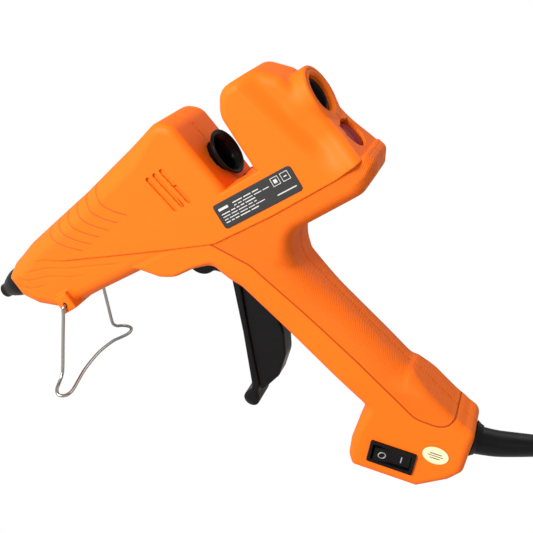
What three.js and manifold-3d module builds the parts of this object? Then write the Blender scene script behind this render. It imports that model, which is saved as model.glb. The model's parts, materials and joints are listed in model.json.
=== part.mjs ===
// Hot glue gun with a pistol grip, standing on its wire stand and on the flat base of its grip.
// Millimetres, +Z up. The origin is the centre of the grip's flat base, and the nozzle points to -X.
//
// The gun itself is drawn in its own upright pose and then tipped nose-down as one group:
// x runs rearward along the feed axis from the nozzle tip, y is sideways, z is up from that axis.
import * as THREE from 'three';
import { mergeVertices } from 'three/addons/utils/BufferGeometryUtils.js';
import Module from 'manifold-3d';

const wasm = await Module();
wasm.setup();

// ---- driving dimensions ----
const tiltDeg = 43.5;          // how far the feed axis rises to the rear when the gun stands
const wall = 2.4;              // housing wall
const seamGap = 0.3;           // between the two housing halves
const touchGap = 0.3;          // between pieces that rest on each other
const slideGap = 0.6;          // between moving pieces

const barrelEnd = 188;         // nozzle tip to the top of the barrel's rear wall
const hopperGap = 25.5;        // rear wall to the front of the head
const headLength = 46.5;       // along the feed axis at the axis's height
const bodyHalf = 22.5;         // half the width of barrel rear and head
const rootHalf = 21.3;         // half the width where the grip meets the barrel
const gripHalf = 19.6;         // half the width of the grip
const footHalf = 17.5;         // half the width of the foot
const noseHalf = 12.5;         // half the width at the nose
const gripLength = 145;        // grip root to foot along the grip
const gripLean = 13.7;         // degrees the grip leans back from square to the barrel
const gripDepth = 33.6;        // grip front to grip back

const stickRadius = 5.6;       // an 11 mm glue stick
const stickGap = 0.6;          // round the stick in every piece that guides it
const chamberRadius = 9.4;     // outside of the melting chamber
const inletRadius = 9.0;       // outside of the inlet sleeve
const portRadius = 10;         // rear port
const portBossRadius = 15.5;   // raised ring round the rear port
const lensRadius = 8.4;        // red indicator lens

const pivotRadius = 2;         // trigger pivot pin
const hubRadius = 9.5;         // trigger hub
const triggerHalf = 9.6;       // half the width of the trigger's front plate
const triggerWebHalf = 7;      // half the width of its body
const triggerSwing = 28;       // degrees of pull
const linkArm = 20;            // pivot to link pin
const linkPinRadius = 1.8;

const wireRadius = 1.05;       // stand wire
const switchLength = 27;       // rocker switch bezel
const switchWidth = 15;
const switchDepth = 14;        // switch body behind the face
const rockerLean = 7;          // degrees the rocker leans to either side
const screwRadius = 1.5;
const screwHeadRadius = 3.3;
const screwSeat = 6;           // head top below the outer face
const cordRadius = 3.25;
const sleeveRadius = 8.2;      // strain relief at the housing
const sleeveEndRadius = 5.4;
const flangeRadius = 10.6;

const gripDirection = new THREE.Vector2(0, -1).rotateAround(new THREE.Vector2(), gripLean * Math.PI / 180);
const gripAcross = new THREE.Vector2(-gripDirection.y, gripDirection.x);
const gripFrontTop = new THREE.Vector2(barrelEnd - 23.2, -60);
const headFront = barrelEnd + hopperGap;
const headRear = headFront + headLength;
const tilt = tiltDeg * Math.PI / 180;

// ---- solids ----
const solid = (geometry) => {
  const plain = geometry.clone();
  for (const name of ['normal', 'uv']) plain.deleteAttribute(name);
  const merged = mergeVertices(plain, 1e-4);
  return new wasm.Manifold(new wasm.Mesh({
    numProp: 3,
    vertProperties: new Float32Array(merged.attributes.position.array),
    triVerts: new Uint32Array(merged.index.array),
  }));
};

const geometryOf = (shape) => {
  const mesh = shape.getMesh();
  const geometry = new THREE.BufferGeometry();
  geometry.setAttribute('position', new THREE.BufferAttribute(mesh.vertProperties, 3));
  geometry.setIndex(new THREE.BufferAttribute(mesh.triVerts, 1));
  return geometry;
};

const join = (...shapes) => shapes.reduce((sum, next) => sum.add(next));
const cut = (base, ...shapes) => shapes.reduce((rest, next) => rest.subtract(next), base);

// A closed outline from corners [x, z, radius], each rounded to its radius where its edges allow.
const outline = (corners) => {
  const shape = new THREE.Shape();
  corners.forEach(([x, z, radius = 0], i) => {
    const here = new THREE.Vector2(x, z);
    const before = new THREE.Vector2(...corners.at(i - 1).slice(0, 2)).sub(here);
    const after = new THREE.Vector2(...corners[(i + 1) % corners.length].slice(0, 2)).sub(here);
    const half = before.angleTo(after) / 2;
    const trim = Math.min(radius / Math.tan(half), 0.45 * before.length(), 0.45 * after.length());
    const start = here.clone().add(before.setLength(trim));
    const end = here.clone().add(after.setLength(trim));
    if (i === 0) shape.moveTo(start.x, start.y);
    else shape.lineTo(start.x, start.y);
    shape.quadraticCurveTo(x, z, end.x, end.y);
  });
  return shape;
};

// The same corners moved inward by a distance. Corners run anticlockwise.
const inset = (corners, distance) => corners.map(([x, z, radius = 0], i) => {
  const here = new THREE.Vector2(x, z);
  const from = here.clone().sub(new THREE.Vector2(...corners.at(i - 1).slice(0, 2))).normalize();
  const to = new THREE.Vector2(...corners[(i + 1) % corners.length].slice(0, 2)).sub(here).normalize();
  const normal = new THREE.Vector2(-from.y - to.y, from.x + to.x).normalize();
  const reach = distance / (normal.dot(new THREE.Vector2(-from.y, from.x)));
  return [x + normal.x * reach, z + normal.y * reach, Math.max(radius - distance, 0.4)];
});

// A side outline made solid across the gun, its edges rounded: rings of the outline, moved inward
// as they near each face, joined by strips and closed by a cap on each side.
const slab = (corners, half, bevel = 0, middle = 0, steps = 3) => {
  const rings = [];
  for (let k = 0; k <= (bevel > 0 ? steps : 0); k += 1) {
    const turn = bevel > 0 ? (k / steps) * Math.PI / 2 : Math.PI / 2;
    const inward = bevel * (1 - Math.sin(turn));
    rings.push([inward, half - bevel * (1 - Math.cos(turn))]);
  }
  const both = [...rings, ...rings.map(([inward, y]) => [inward, -y]).reverse()];
  const loops = both.map(([inward, y]) => outline(inset(corners, inward)).getPoints(3)
    .map((point) => [point.x, y + middle, point.y]));
  const count = loops[0].length;
  const faces = [];
  for (let ring = 0; ring + 1 < loops.length; ring += 1) {
    for (let i = 0; i < count; i += 1) {
      const a = ring * count + i;
      const b = ring * count + (i + 1) % count;
      faces.push(a, b, a + count, b, b + count, a + count);
    }
  }
  const last = (loops.length - 1) * count;
  for (const start of [0, last]) {
    const loop = loops[start / count].map(([x, , z]) => new THREE.Vector2(x, z));
    for (const [a, b, c] of THREE.ShapeUtils.triangulateShape(loop, [])) {
      if (start === 0) faces.push(start + a, start + c, start + b);
      else faces.push(start + a, start + b, start + c);
    }
  }
  const geometry = new THREE.BufferGeometry();
  geometry.setAttribute('position', new THREE.Float32BufferAttribute(loops.flat(2), 3));
  geometry.setIndex(faces);
  return geometry;
};

// A half-width profile [along, half] mirrored and extruded, seen from above or from the front.
const widthProfile = (points, fromAbove) => {
  const near = points.map(([along, half]) => new THREE.Vector2(along, half));
  const far = points.map(([along, half]) => new THREE.Vector2(along, -half)).reverse();
  const reach = 600;
  const geometry = new THREE.ExtrudeGeometry(new THREE.Shape([...near, ...far]), {
    depth: reach, bevelEnabled: false,
  });
  geometry.translate(0, 0, -reach / 2);
  return fromAbove ? geometry : geometry.rotateY(-Math.PI / 2);
};

const boxAt = (x, y, z, sizeX, sizeY, sizeZ, turnDeg = 0) => new THREE.BoxGeometry(sizeX, sizeY, sizeZ)
  .rotateY(-turnDeg * Math.PI / 180).translate(x, y, z);

// Round pieces: along the feed axis, across the gun, or on a slanted line in the gun's mid-plane.
const alongAxis = (x0, x1, radius, sides = 28, z = 0) => new THREE.CylinderGeometry(
  radius, radius, x1 - x0, sides).rotateZ(Math.PI / 2).translate((x0 + x1) / 2, 0, z);
const across = (x, z, y0, y1, radius, sides = 20) => new THREE.CylinderGeometry(
  radius, radius, Math.abs(y1 - y0), sides).translate(x, (y0 + y1) / 2, z);
const slanted = (x, z, degrees, from, to, radius, sides = 24) => new THREE.CylinderGeometry(
  radius, radius, to - from, sides).rotateZ(-Math.PI / 2).translate((from + to) / 2, 0, 0)
  .rotateY(-degrees * Math.PI / 180).translate(x, 0, z);
const turned = (points, sides = 28) => new THREE.LatheGeometry(
  points.map(([x, radius]) => new THREE.Vector2(Math.max(radius, 0), x)), sides)
  .rotateZ(-Math.PI / 2);

// ---- housing outlines, in the gun's own pose ----
const onGrip = (along, deep) => {
  const point = gripFrontTop.clone()
    .addScaledVector(gripDirection, along).addScaledVector(gripAcross, deep);
  return [point.x, point.y];
};
const footTop = gripLength - 40;
const baseLength = 37.5;
const baseCentre = new THREE.Vector2(...onGrip(gripLength, -25));
const alongBase = (distance, height) => [
  baseCentre.x + distance * Math.cos(tilt) + height * Math.sin(tilt),
  baseCentre.y - distance * Math.sin(tilt) + height * Math.cos(tilt),
];
const exitHeight = 34.5;                         // cord exit above the base, and its face behind
const rearFace = 41.3;

const wallFoot = barrelEnd + 6;                   // the rear wall leans back towards its foot
const barrelCorners = [
  [21, -8.5, 3], [29, -18.6, 8], [43, -27.4, 12], [64, -30, 20], [barrelEnd - 69, -32.2, 4],
  [barrelEnd - 20, -37, 2], [wallFoot + 1, -37, 2], [wallFoot, -16, 2], [barrelEnd, 27, 5],
  [barrelEnd - 7, 33, 7], [barrelEnd - 76, 23.4, 60], [50, 16.6, 40], [30, 12.2, 8], [20.5, 7, 3],
];
const bridgeCorners = [
  [barrelEnd - 36, -38, 1], [headRear + 5.5, -38, 1], [headRear + 1, -15.5, 2], [barrelEnd - 26, -15.5, 2],
];
const headCorners = [
  [headFront + 1, -30, 2], [headRear + 4.5, -37, 2], [headRear - 1, -6, 20], [headRear - 9.5, 17.5, 10],
  [headRear - 20, 28.4, 10], [headFront + 8.5, 28.8, 10], [headFront + 1, 18, 12],
];
const tangCorners = [
  [barrelEnd - 60, -40.5, 5], [barrelEnd - 53, -43.6, 8], [barrelEnd - 40, -44.6, 8],
  [barrelEnd - 29, -48.5, 8], [barrelEnd - 22.5, -62, 8], [barrelEnd + 13, -68, 2],
  [barrelEnd + 23, -52.8, 14], [headRear - 4, -52.8, 10],
  [headRear + 6, -48.2, 6], [headRear + 10.4, -41.6, 5], [headRear + 8, -35.6, 2], [barrelEnd - 76, -25, 2],
];
const handleCorners = [
  onGrip(-8, 0.5), onGrip(footTop + 8, 0.3), onGrip(gripLength, 8), onGrip(gripLength, gripDepth),
  onGrip(0, gripDepth), onGrip(-14, gripDepth + 4),
].map(([x, z]) => [x, z, 3]);
const footCorners = [
  [...onGrip(footTop, 0.3), 3], [...onGrip(footTop + 4, -10), 6], [...onGrip(footTop + 10, -23), 12],
  [...onGrip(footTop + 17, -32.5), 8], [...alongBase(-baseLength / 2 - 1.5, 0), 3],
  [...alongBase(baseLength / 2, 0), 1], [...alongBase(baseLength / 2 + 16, 12), 6],
  [...alongBase(rearFace - 0.5, 20), 6], [...alongBase(rearFace, 47), 7],
  [...onGrip(gripLength - 8, gripDepth), 8], [...onGrip(footTop, gripDepth), 3],
];

// Half widths seen from above, and from the front. The cavity's follow them a wall further in.
const planWidths = (closing) => [
  [17, noseHalf - 1.5], [21, noseHalf], [40, noseHalf + 3], [64, noseHalf + 5.5], [110, bodyHalf - 2.6],
  [barrelEnd - 10, bodyHalf], [closing - 4, bodyHalf], [closing + 6, 18], [closing + 11, 10],
  [closing + 14, 5],
];
const footStart = onGrip(footTop, 0)[1];
const frontWidths = (ramp) => [
  [-400, footHalf], [footStart - 8, footHalf], [footStart + 40, gripHalf], [-75, gripHalf + 0.6],
  [-58, rootHalf], [-38 - ramp, rootHalf], [-38 + ramp, bodyHalf], [200, bodyHalf],
];
const narrowed = (widths) => widths.map(([along, half]) => [along, half - wall]);

const bodyPieces = [
  [barrelCorners, bodyHalf, 8], [bridgeCorners, bodyHalf, 0.8], [headCorners, bodyHalf, 7],
  [tangCorners, rootHalf, 3.5], [handleCorners, rootHalf, 5.5], [footCorners, footHalf, 3.2],
];
const clipX = 56;                                 // stand pivot on the barrel
const clipZ = -25.5;
const clipFace = noseHalf + 8.3;                  // outer face of each clip block
const clipBlock = (side) => boxAt(clipX, side * (clipFace - 5), clipZ + 1, 10, 10, 11);
const outer = join(
  join(...bodyPieces.map(([corners, half, bevel]) => solid(slab(corners, half, bevel))))
    .intersect(solid(widthProfile(planWidths(headRear), true)))
    .intersect(solid(widthProfile(frontWidths(0.2), false))),
  solid(alongAxis(headRear - 24, headRear + 0.6, portBossRadius, 36)),
  solid(clipBlock(-1)), solid(clipBlock(1)),
);
const cavity = join(...bodyPieces.map(([corners, half]) => solid(slab(inset(corners, wall), half))))
  .intersect(solid(widthProfile(narrowed(planWidths(headRear - 4)), true)))
  .intersect(solid(widthProfile(narrowed(frontWidths(2)), false)));

// ---- what the housing is cut for ----
const pivotX = barrelEnd - 38;
const pivotZ = -43;
const lensLine = 14.5;                            // the head's rear face leans by this much
const lensX = headRear + 1.6;
const lensZ = -25.5;
const labelX = headFront - 5;
const labelZ = -27;
const labelLength = 51;
const labelWidth = 14.5;
const labelTurn = -1.7;
const switchAt = new THREE.Vector2(...alongBase(1, 16.8));
const stickerAt = new THREE.Vector2(...alongBase(24, 28));
const triggerSlot = triggerHalf + 1;
const slotDepth = 26;
const triggerOpening = [
  [pivotX - 12, -58], [pivotX - 12, -36], [pivotX + 40, -36], onGrip(54, slotDepth), onGrip(68, 14),
  onGrip(74, -8), onGrip(10, -12),
].map(([x, z]) => [x, z, 2]).reverse();
const ventTop = [barrelEnd - 29, 11];
const ventPitch = 5;
const ventLean = 10.5;
const vents = [-1, 1].flatMap((side) => [0, 1, 2].map((i) => solid(boxAt(
  ventTop[0] + i * ventPitch + 2, side * bodyHalf, 0.2, 1.9, 3 * wall, 23.5, ventLean))));

// Screws come in from the far side: a post in each half, a counterbore outside.
const screwSpots = [
  [38, -21], [barrelEnd - 74, -25], [barrelEnd - 14, 22.5], [headFront + 12, 19.5], [headFront + 27, -45],
  onGrip(footTop - 15, gripDepth - 9), onGrip(footTop + 10, -9),
];
const postRadius = 4.6;
const halfAt = (x, z) => {
  if (z < -150) return footHalf;
  if (z < -100) return gripHalf - 0.6;
  if (x < 60) return noseHalf + 2.4;
  return z < -37 ? rootHalf : bodyHalf - 1.6;
};
const screwTopOf = ([x, z]) => halfAt(x, z) - screwSeat;
const screwPost = (side, [x, z]) => solid(across(
  x, z, side * seamGap / 2, side * (halfAt(x, z) + 3), postRadius, 14));
const screwBore = ([x, z]) => join(
  solid(across(x, z, -screwTopOf([x, z]), screwTopOf([x, z]) + 1, screwRadius + touchGap, 12)),
  solid(across(x, z, screwTopOf([x, z]) - 2.6 - touchGap, 40, screwHeadRadius + touchGap, 16)),
);

const clipBore = solid(across(clipX, clipZ, -40, 40, wireRadius + touchGap, 12));
const linerLength = 12;
const noseOpening = solid(alongAxis(0, 30, 9.6 + touchGap));
const inletOpening = solid(alongAxis(barrelEnd - 20, headFront - 8, inletRadius + touchGap));
const frontOpening = solid(alongAxis(headFront - 6, headFront + 12, stickRadius + 2.6));
const portOpening = solid(alongAxis(headRear - 26, headRear + 20, portRadius));
const slotOpening = solid(boxAt(barrelEnd + 17, 0, -16, 17, 7, 8));
const lensOpening = solid(slanted(lensX, lensZ, lensLine, -12, 12, lensRadius + touchGap, 32));
const switchOpening = solid(boxAt(
  switchAt.x, -footHalf, switchAt.y, switchLength - 2.4, 12, switchWidth - 2.4, -tiltDeg));
const exitPoint = alongBase(rearFace, exitHeight);
const exitOpening = solid(slanted(...exitPoint, -tiltDeg, -16, 10, cordRadius + 2));
const labelSeat = solid(boxAt(
  labelX, -bodyHalf, labelZ, labelLength + 0.6, 1.4, labelWidth + 0.6, labelTurn));
const triggerCut = solid(slab(triggerOpening, triggerSlot));
const hubSocket = solid(across(pivotX, pivotZ, -triggerSlot, triggerSlot, hubRadius + slideGap, 24));
const pinBore = solid(across(pivotX, pivotZ, -16, 16, pivotRadius + touchGap, 16));
const pinBoss = (side) => solid(across(
  pivotX, pivotZ, side * (triggerSlot + 0.2), side * (rootHalf - 1), pivotRadius + 3.4, 20));

const halfSpace = (side) => solid(boxAt(
  100, side * (200 + seamGap / 2), -80, 700, 400, 500));
const housing = (side) => {
  const shell = cut(outer, cavity);
  const posts = screwSpots.map((spot) => screwPost(side, spot).intersect(outer));
  return cut(
    join(shell, ...posts, pinBoss(side).intersect(outer),
      solid(alongAxis(headRear - linerLength - 1, headRear, portRadius + wall, 36))),
    ...screwSpots.map(screwBore), ...vents, clipBore, noseOpening, inletOpening, frontOpening,
    portOpening, slotOpening, lensOpening, switchOpening, exitOpening, labelSeat, triggerCut,
    hubSocket, pinBore,
  ).intersect(halfSpace(side));
};

// ---- scene graph ----
const gun = new THREE.Group();
const model = new THREE.Group();
gun.rotation.y = -tilt;
gun.position.set(
  -(baseCentre.x * Math.cos(tilt) - baseCentre.y * Math.sin(tilt)), 0,
  -(baseCentre.x * Math.sin(tilt) + baseCentre.y * Math.cos(tilt)));
model.add(gun);

const finish = (color, roughness, metalness = 0) => new THREE.MeshStandardMaterial(
  { color, roughness, metalness });
const orange = finish(0xf46a12, 0.45);
const black = finish(0x1a1a1c, 0.5);
const softBlack = finish(0x121213, 0.75);
const steel = finish(0xb9bcc0, 0.3, 1);
const aluminium = finish(0xaeb0b3, 0.4, 1);
const brass = finish(0xc9a050, 0.35, 1);
const red = finish(0xb0101c, 0.2);
const ceramic = finish(0xe6e2d8, 0.8);
const charcoal = finish(0x2b2c2e, 0.55);
const paleYellow = finish(0xf2e27a, 0.7);

const add = (name, geometry, material, parent = gun) => {
  const mesh = new THREE.Mesh(geometry.isBufferGeometry ? geometry : geometryOf(geometry), material);
  mesh.name = name;
  parent.add(mesh);
  return mesh;
};

add('housing_left', housing(-1), orange);
add('housing_right', housing(1), orange);
screwSpots.forEach((spot, i) => {
  const [x, z] = spot;
  const top = screwTopOf(spot);
  add(`housing_screw_${i + 1}`, join(
    solid(across(x, z, top - 2.4, top - 0.2, screwHeadRadius, 16)),
    solid(across(x, z, -top + 1.5, top - 2.3, screwRadius, 10)),
  ), steel);
});

// Nozzle, boot, chamber, heater and inlet, all on the feed axis.
const chamberFront = 27;
const chamberRear = barrelEnd - 40;
add('nozzle', turned([
  [0.6, 1.2], [0.6, 3], [5, 3.6], [10, 5.2], [18, 6.4], [chamberFront, 6.4], [chamberFront, 3], [12, 2.6],
  [4, 1.2], [0.6, 1.2],
], 24), brass);
add('nozzle_boot', turned([
  [2, 3.7], [2, 4.6], [6, 4.7], [9, 6.6], [16, 9], [19, 9.4], [25, 9.4], [25, 6.8], [18, 6.8], [9.6, 5.5],
  [4.8, 3.9], [2, 3.7],
], 28), softBlack);
add('melt_chamber', turned([
  [chamberFront + touchGap, stickRadius - 2], [chamberFront + touchGap, chamberRadius - 2],
  [chamberFront + 6, chamberRadius], [chamberRear, chamberRadius], [chamberRear, stickRadius + stickGap],
  [chamberFront + 22, stickRadius + stickGap], [chamberFront + touchGap, stickRadius - 2],
]), aluminium);
add('inlet_sleeve', turned([
  [chamberRear + touchGap, stickRadius + stickGap], [chamberRear + touchGap, inletRadius],
  [wallFoot + 0.4, inletRadius], [wallFoot + 2, inletRadius + 3.6], [wallFoot + 3.6, inletRadius + 4.2],
  [wallFoot + 4, inletRadius + 3.2], [wallFoot + 3.2, inletRadius + 2],
  [wallFoot - 3, stickRadius + 2.4], [wallFoot - 12, stickRadius + stickGap],
  [chamberRear + touchGap, stickRadius + stickGap],
], 32), softBlack);
const heaterLength = 52;
const heaterX = 82;
add('heater', boxAt(heaterX, 0, -chamberRadius - touchGap - 2.6, heaterLength, 13, 5.2), ceramic);
add('heater_clamp', cut(
  solid(boxAt(heaterX, 0, -4.4, 26, 2 * chamberRadius + 3.4, 2 * chamberRadius + 9.6)),
  solid(boxAt(heaterX, 0, -4, 60, 13.8, 2 * chamberRadius + 6)),
  solid(alongAxis(0, 200, chamberRadius + touchGap)),
), aluminium);
const cradle = (x, low, high, half) => cut(
  solid(boxAt(x, 0, (low + high) / 2, 4, 2 * half, high - low)),
  solid(alongAxis(0, 200, chamberRadius + touchGap, 24)),
);
add('chamber_cradle_front', cradle(49, -22, 13, 11.5), charcoal);
add('chamber_cradle_rear', cradle(barrelEnd - 50, -18.4, 18, 17), charcoal);

// Rear port liner, indicator lens and its lamp.
add('port_liner', turned([
  [headRear - linerLength, stickRadius + 1.2], [headRear - linerLength, portRadius - touchGap],
  [headRear - 2.5, portRadius - touchGap], [headRear - 2.5, portRadius - 1.6],
  [headRear - 7, stickRadius + 1.2], [headRear - linerLength, stickRadius + 1.2],
], 32), softBlack);
add('indicator_lens', join(
  solid(slanted(lensX, lensZ, lensLine, -1.8, 1, lensRadius, 32)),
  solid(slanted(lensX, lensZ, lensLine, 0.9, 1.7, lensRadius - 1.6, 32)),
), red);
add('indicator_lamp', slanted(lensX, lensZ, lensLine, -9, -2.2, 3.6, 16), red);

// Trigger with its pins and spring. The link pin swings equally to both sides of the pivot.
const linkStart = Math.PI / 2 - triggerSwing * Math.PI / 360;
const linkPinX = pivotX + linkArm * Math.cos(linkStart);
const linkPinZ = pivotZ + linkArm * Math.sin(linkStart);
const bladeCorners = [
  [pivotX - 4, -44, 2], [pivotX + 0.5, -52.5, 3], [pivotX + 11, -63, 3], [pivotX - 18.5, -127.5, 1],
  [pivotX - 19, -132, 1], [pivotX - 3, -127.5, 8], [pivotX + 8.5, -118, 10], [pivotX + 17.5, -103, 16],
  [pivotX + 21, -72, 14], [pivotX + 6, -42, 3],
];
const plateCorners = [
  [pivotX + 9.8, -60.5, 0.6], [pivotX - 21.4, -126.5, 0.6], [pivotX - 18.2, -128.2, 0.6],
  [pivotX + 14.6, -61.5, 0.6],
];
const armCorners = [
  [pivotX - 5, -42, 1], [pivotX + 5, -42, 1], [linkPinX + 3.4, linkPinZ + 3.4, 3],
  [linkPinX - 3.4, linkPinZ + 3.4, 3],
];
const springSeat = 3.6;                           // the spring sits in the hub's far end
const trigger = cut(join(
  solid(slab(bladeCorners, triggerWebHalf, 1)),
  solid(slab(plateCorners, triggerHalf, 0.5)),
  solid(across(pivotX - 27, -133, -triggerHalf, triggerHalf, 4.7, 20)),
  solid(slab([
    [pivotX - 27, -137, 1], [pivotX - 18, -133, 1], [pivotX - 17, -127, 1], [pivotX - 22, -126, 1],
  ], triggerHalf - 0.6)),
  solid(across(pivotX, pivotZ, -triggerHalf, triggerHalf, hubRadius, 28)),
  solid(slab(armCorners, 3.2)),
), solid(across(pivotX, pivotZ, -16, 16, pivotRadius + touchGap, 16)),
solid(across(linkPinX, linkPinZ, -16, 16, linkPinRadius + touchGap, 12)),
solid(across(pivotX, pivotZ, springSeat, 16, pivotRadius + 2.5, 20)));
add('trigger', trigger, black);
add('trigger_pin', across(pivotX, pivotZ, -15, 15, pivotRadius, 16), steel);
add('link_pin', across(linkPinX, linkPinZ, -9, 9, linkPinRadius, 12), steel);

class Coil extends THREE.Curve {
  constructor(radius, turns, pitch) {
    super();
    Object.assign(this, { radius, turns, pitch });
  }

  getPoint(t, target = new THREE.Vector3()) {
    const turn = t * this.turns * 2 * Math.PI;
    return target.set(
      this.radius * Math.cos(turn), this.pitch * this.turns * t, this.radius * Math.sin(turn));
  }
}
const disc = (radius, sides) => {
  const shape = new THREE.Shape();
  for (let i = 0; i < sides; i += 1) {
    const turn = (i / sides) * 2 * Math.PI;
    if (i === 0) shape.moveTo(radius, 0);
    else shape.lineTo(radius * Math.cos(turn), radius * Math.sin(turn));
  }
  return shape;
};
const tube = (curve, radius, sides, steps) => new THREE.ExtrudeGeometry(
  disc(radius, sides), { extrudePath: curve, steps, bevelEnabled: false });
const springGauge = 0.55;
add('trigger_spring', tube(new Coil(pivotRadius + 1.2, 3.25, 1.4), springGauge, 6, 44)
  .translate(pivotX, springSeat + 0.9, pivotZ), steel);

// The pusher: a bar each side of the trigger arm, slotted for the link pin, and the stick gripper.
const barTop = -19.6;
const barBottom = -27;
const gripperFront = headFront + 15.5;
const gripperLength = 14;
const barSlot = linkPinRadius + 0.5;
const pusher = cut(join(
  solid(boxAt((linkPinX - 6 + gripperFront + 16) / 2, 0, (barTop + barBottom) / 2,
    gripperFront + 22 - linkPinX, 14, barTop - barBottom)),
  solid(boxAt(gripperFront + gripperLength / 2, 0, -16.6, gripperLength, 14, 8)),
), solid(boxAt((linkPinX - 12 + gripperFront - 3) / 2, 0, (barTop + barBottom) / 2,
  gripperFront + 9 - linkPinX, 2 * (3.2 + slideGap), 20)),
solid(slab([
  [linkPinX - barSlot, linkPinZ - barSlot - 0.4], [linkPinX + barSlot, linkPinZ - barSlot - 0.4],
  [linkPinX + barSlot, linkPinZ + barSlot + 0.9], [linkPinX - barSlot, linkPinZ + barSlot + 0.9],
].map(([x, z]) => [x, z, barSlot]), 12)));
add('pusher', pusher, charcoal);
add('stick_gripper', cut(
  join(solid(alongAxis(gripperFront, gripperFront + gripperLength, stickRadius + 4.6)),
    solid(boxAt(gripperFront + gripperLength / 2, 0, -8.4, gripperLength - 4, 9, 4.4))),
  solid(alongAxis(gripperFront - 5, gripperFront + gripperLength + 5, stickRadius + stickGap)),
), aluminium);

// Rocker switch in the foot: its own x runs along the base and its y into the gun.
const onSwitch = (shape) => geometryOf(shape).rotateY(tilt).translate(switchAt.x, -footHalf, switchAt.y);
const switchPlate = (sizeX, sizeZ, y0, y1) => solid(
  new THREE.BoxGeometry(sizeX, y1 - y0, sizeZ).translate(0, (y0 + y1) / 2, 0));
const bezelProud = 1.6;
const rockerHalf = switchLength / 2 - 2.6;
const rockerWide = switchWidth - 5;
const rockerPivot = 2.4;
add('switch_bezel', onSwitch(cut(
  join(switchPlate(switchLength, switchWidth, -bezelProud, -touchGap),
    switchPlate(switchLength - 3, switchWidth - 3, -touchGap - 0.1, switchDepth)),
  switchPlate(2 * rockerHalf, rockerWide, -10, 7),
)), black);
// A shallow V face on a rounded back, leaning with its -x end out.
const rocker = solid(slab([
  [-rockerHalf + 1.2, 2.5, 0.5], [-rockerHalf + 2.6, -3.4, 1], [0, -6.2, 3], [rockerHalf - 2.6, -3.4, 1],
  [rockerHalf - 1.2, 2.5, 0.5], [0, 1.2, 6],
], rockerWide / 2 - 0.5)).rotate([90, 0, 0]);
add('switch_rocker', onSwitch(
  rocker.translate([0, -rockerPivot, 0]).rotate([0, 0, rockerLean]).translate([0, rockerPivot, 0])), black);

add('rating_label', boxAt(
  labelX, -bodyHalf + 0.1, labelZ, labelLength, 0.5, labelWidth, labelTurn), charcoal);
add('inspection_sticker', new THREE.CylinderGeometry(7, 7, 0.3, 28).scale(1.05, 1, 0.82)
  .rotateY(0.3).translate(stickerAt.x, -footHalf - touchGap - 0.15, stickerAt.y), paleYellow);

// ---- stand wire, in the standing pose ----
gun.updateMatrix();
const standing = (x, z) => new THREE.Vector3(x, 0, z).applyMatrix4(gun.matrix);
const pivot = standing(clipX, clipZ);
// Half the wire: behind the pivot, to the side, and above the table.
const halfWire = [
  [0, clipFace - 7, pivot.z], [0, clipFace - 1, pivot.z], [0, clipFace + 1.4, pivot.z - 0.5],
  [0.1, clipFace + 2.4, pivot.z - 2.4], [0.6, clipFace + 2.8, pivot.z - 6],
  [5.4, 31, 10.5], [6.2, 33.6, 6.4], [6.7, 37, 3.8], [7.8, 41.2, 2.1], [10.6, 44, wireRadius],
  [14, 43.4, wireRadius], [15.6, 40, wireRadius], [15.6, 35, wireRadius + 0.2], [14.6, 27.5, 2.7],
  [13.6, 17, 5],
];
const wirePoint = ([behind, side, height], mirror) => new THREE.Vector3(
  pivot.x + behind, mirror * side, height);
const wirePoints = [
  ...halfWire.map((place) => wirePoint(place, -1)), wirePoint([13, 0, 6.3], 1),
  ...[...halfWire].reverse().map((place) => wirePoint(place, 1)),
];
add('stand_wire', tube(new THREE.CatmullRomCurve3(wirePoints, false, 'centripetal'), wireRadius, 8, 96),
  steel, model);

// ---- strain relief, cord, coil and plug, in the standing pose ----
const sleeveRoute = new THREE.CatmullRomCurve3([
  [rearFace + touchGap, 0, exitHeight], [47, 0, exitHeight], [55, 1.6, 34.8], [66, 6, 35],
  [77, 13, 33.4], [87, 22, 29.6],
].map((point) => new THREE.Vector3(...point)));
// A round piece along a curve whose radius changes with the way along it.
const tapered = (curve, radiusAt, sides, steps) => {
  const geometry = new THREE.CylinderGeometry(1, 1, 1, sides, steps);
  const place = geometry.attributes.position;
  const point = new THREE.Vector3();
  for (let i = 0; i < place.count; i += 1) {
    point.fromBufferAttribute(place, i);
    const t = THREE.MathUtils.clamp(0.5 - point.y, 0, 1);
    const ahead = curve.getTangentAt(t);
    const sideways = new THREE.Vector3(0, 0, 1).cross(ahead).normalize();
    const above = ahead.clone().cross(sideways);
    point.copy(curve.getPointAt(t).addScaledVector(sideways, point.x * radiusAt(t))
      .addScaledVector(above, point.z * radiusAt(t)));
    place.setXYZ(i, point.x, point.y, point.z);
  }
  return geometry;
};
add('strain_relief', tapered(sleeveRoute, (t) => {
  const body = sleeveRadius + (sleeveEndRadius - sleeveRadius) * t;
  return body + (flangeRadius - sleeveRadius) * Math.max(0, 1 - t / 0.1) ** 1.5;
}, 24, 24), softBlack, model);
const [clampX, clampZ] = alongBase(rearFace - 17, exitHeight);
add('cord_clamp', boxAt(clampX, 0, clampZ, 8, 16, 5, -tiltDeg), charcoal);

// The coil lies on the table past the gun: three turns side by side, two layers.
const turnWidth = 2 * cordRadius + 0.1;
const coilCentre = [154.5, 51.5];
const coilMiddle = 39;                            // radius at the middle of the turns
const coilHalf = 1.5 * turnWidth + 0.4;
const coilHeight = 2 * turnWidth + 0.6;
const coilRing = (grow) => new THREE.LatheGeometry([
  [coilMiddle - coilHalf - grow, 0.1 - grow], [coilMiddle + coilHalf + grow, 0.1 - grow],
  [coilMiddle + coilHalf + grow, coilHeight + grow], [coilMiddle - coilHalf - grow, coilHeight + grow],
  [coilMiddle - coilHalf - grow, 0.1 - grow],
].map(([radius, height]) => new THREE.Vector2(radius, height)), 40).rotateX(Math.PI / 2)
  .translate(...coilCentre, 0);
add('cord_coil', coilRing(0), softBlack, model);

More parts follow.
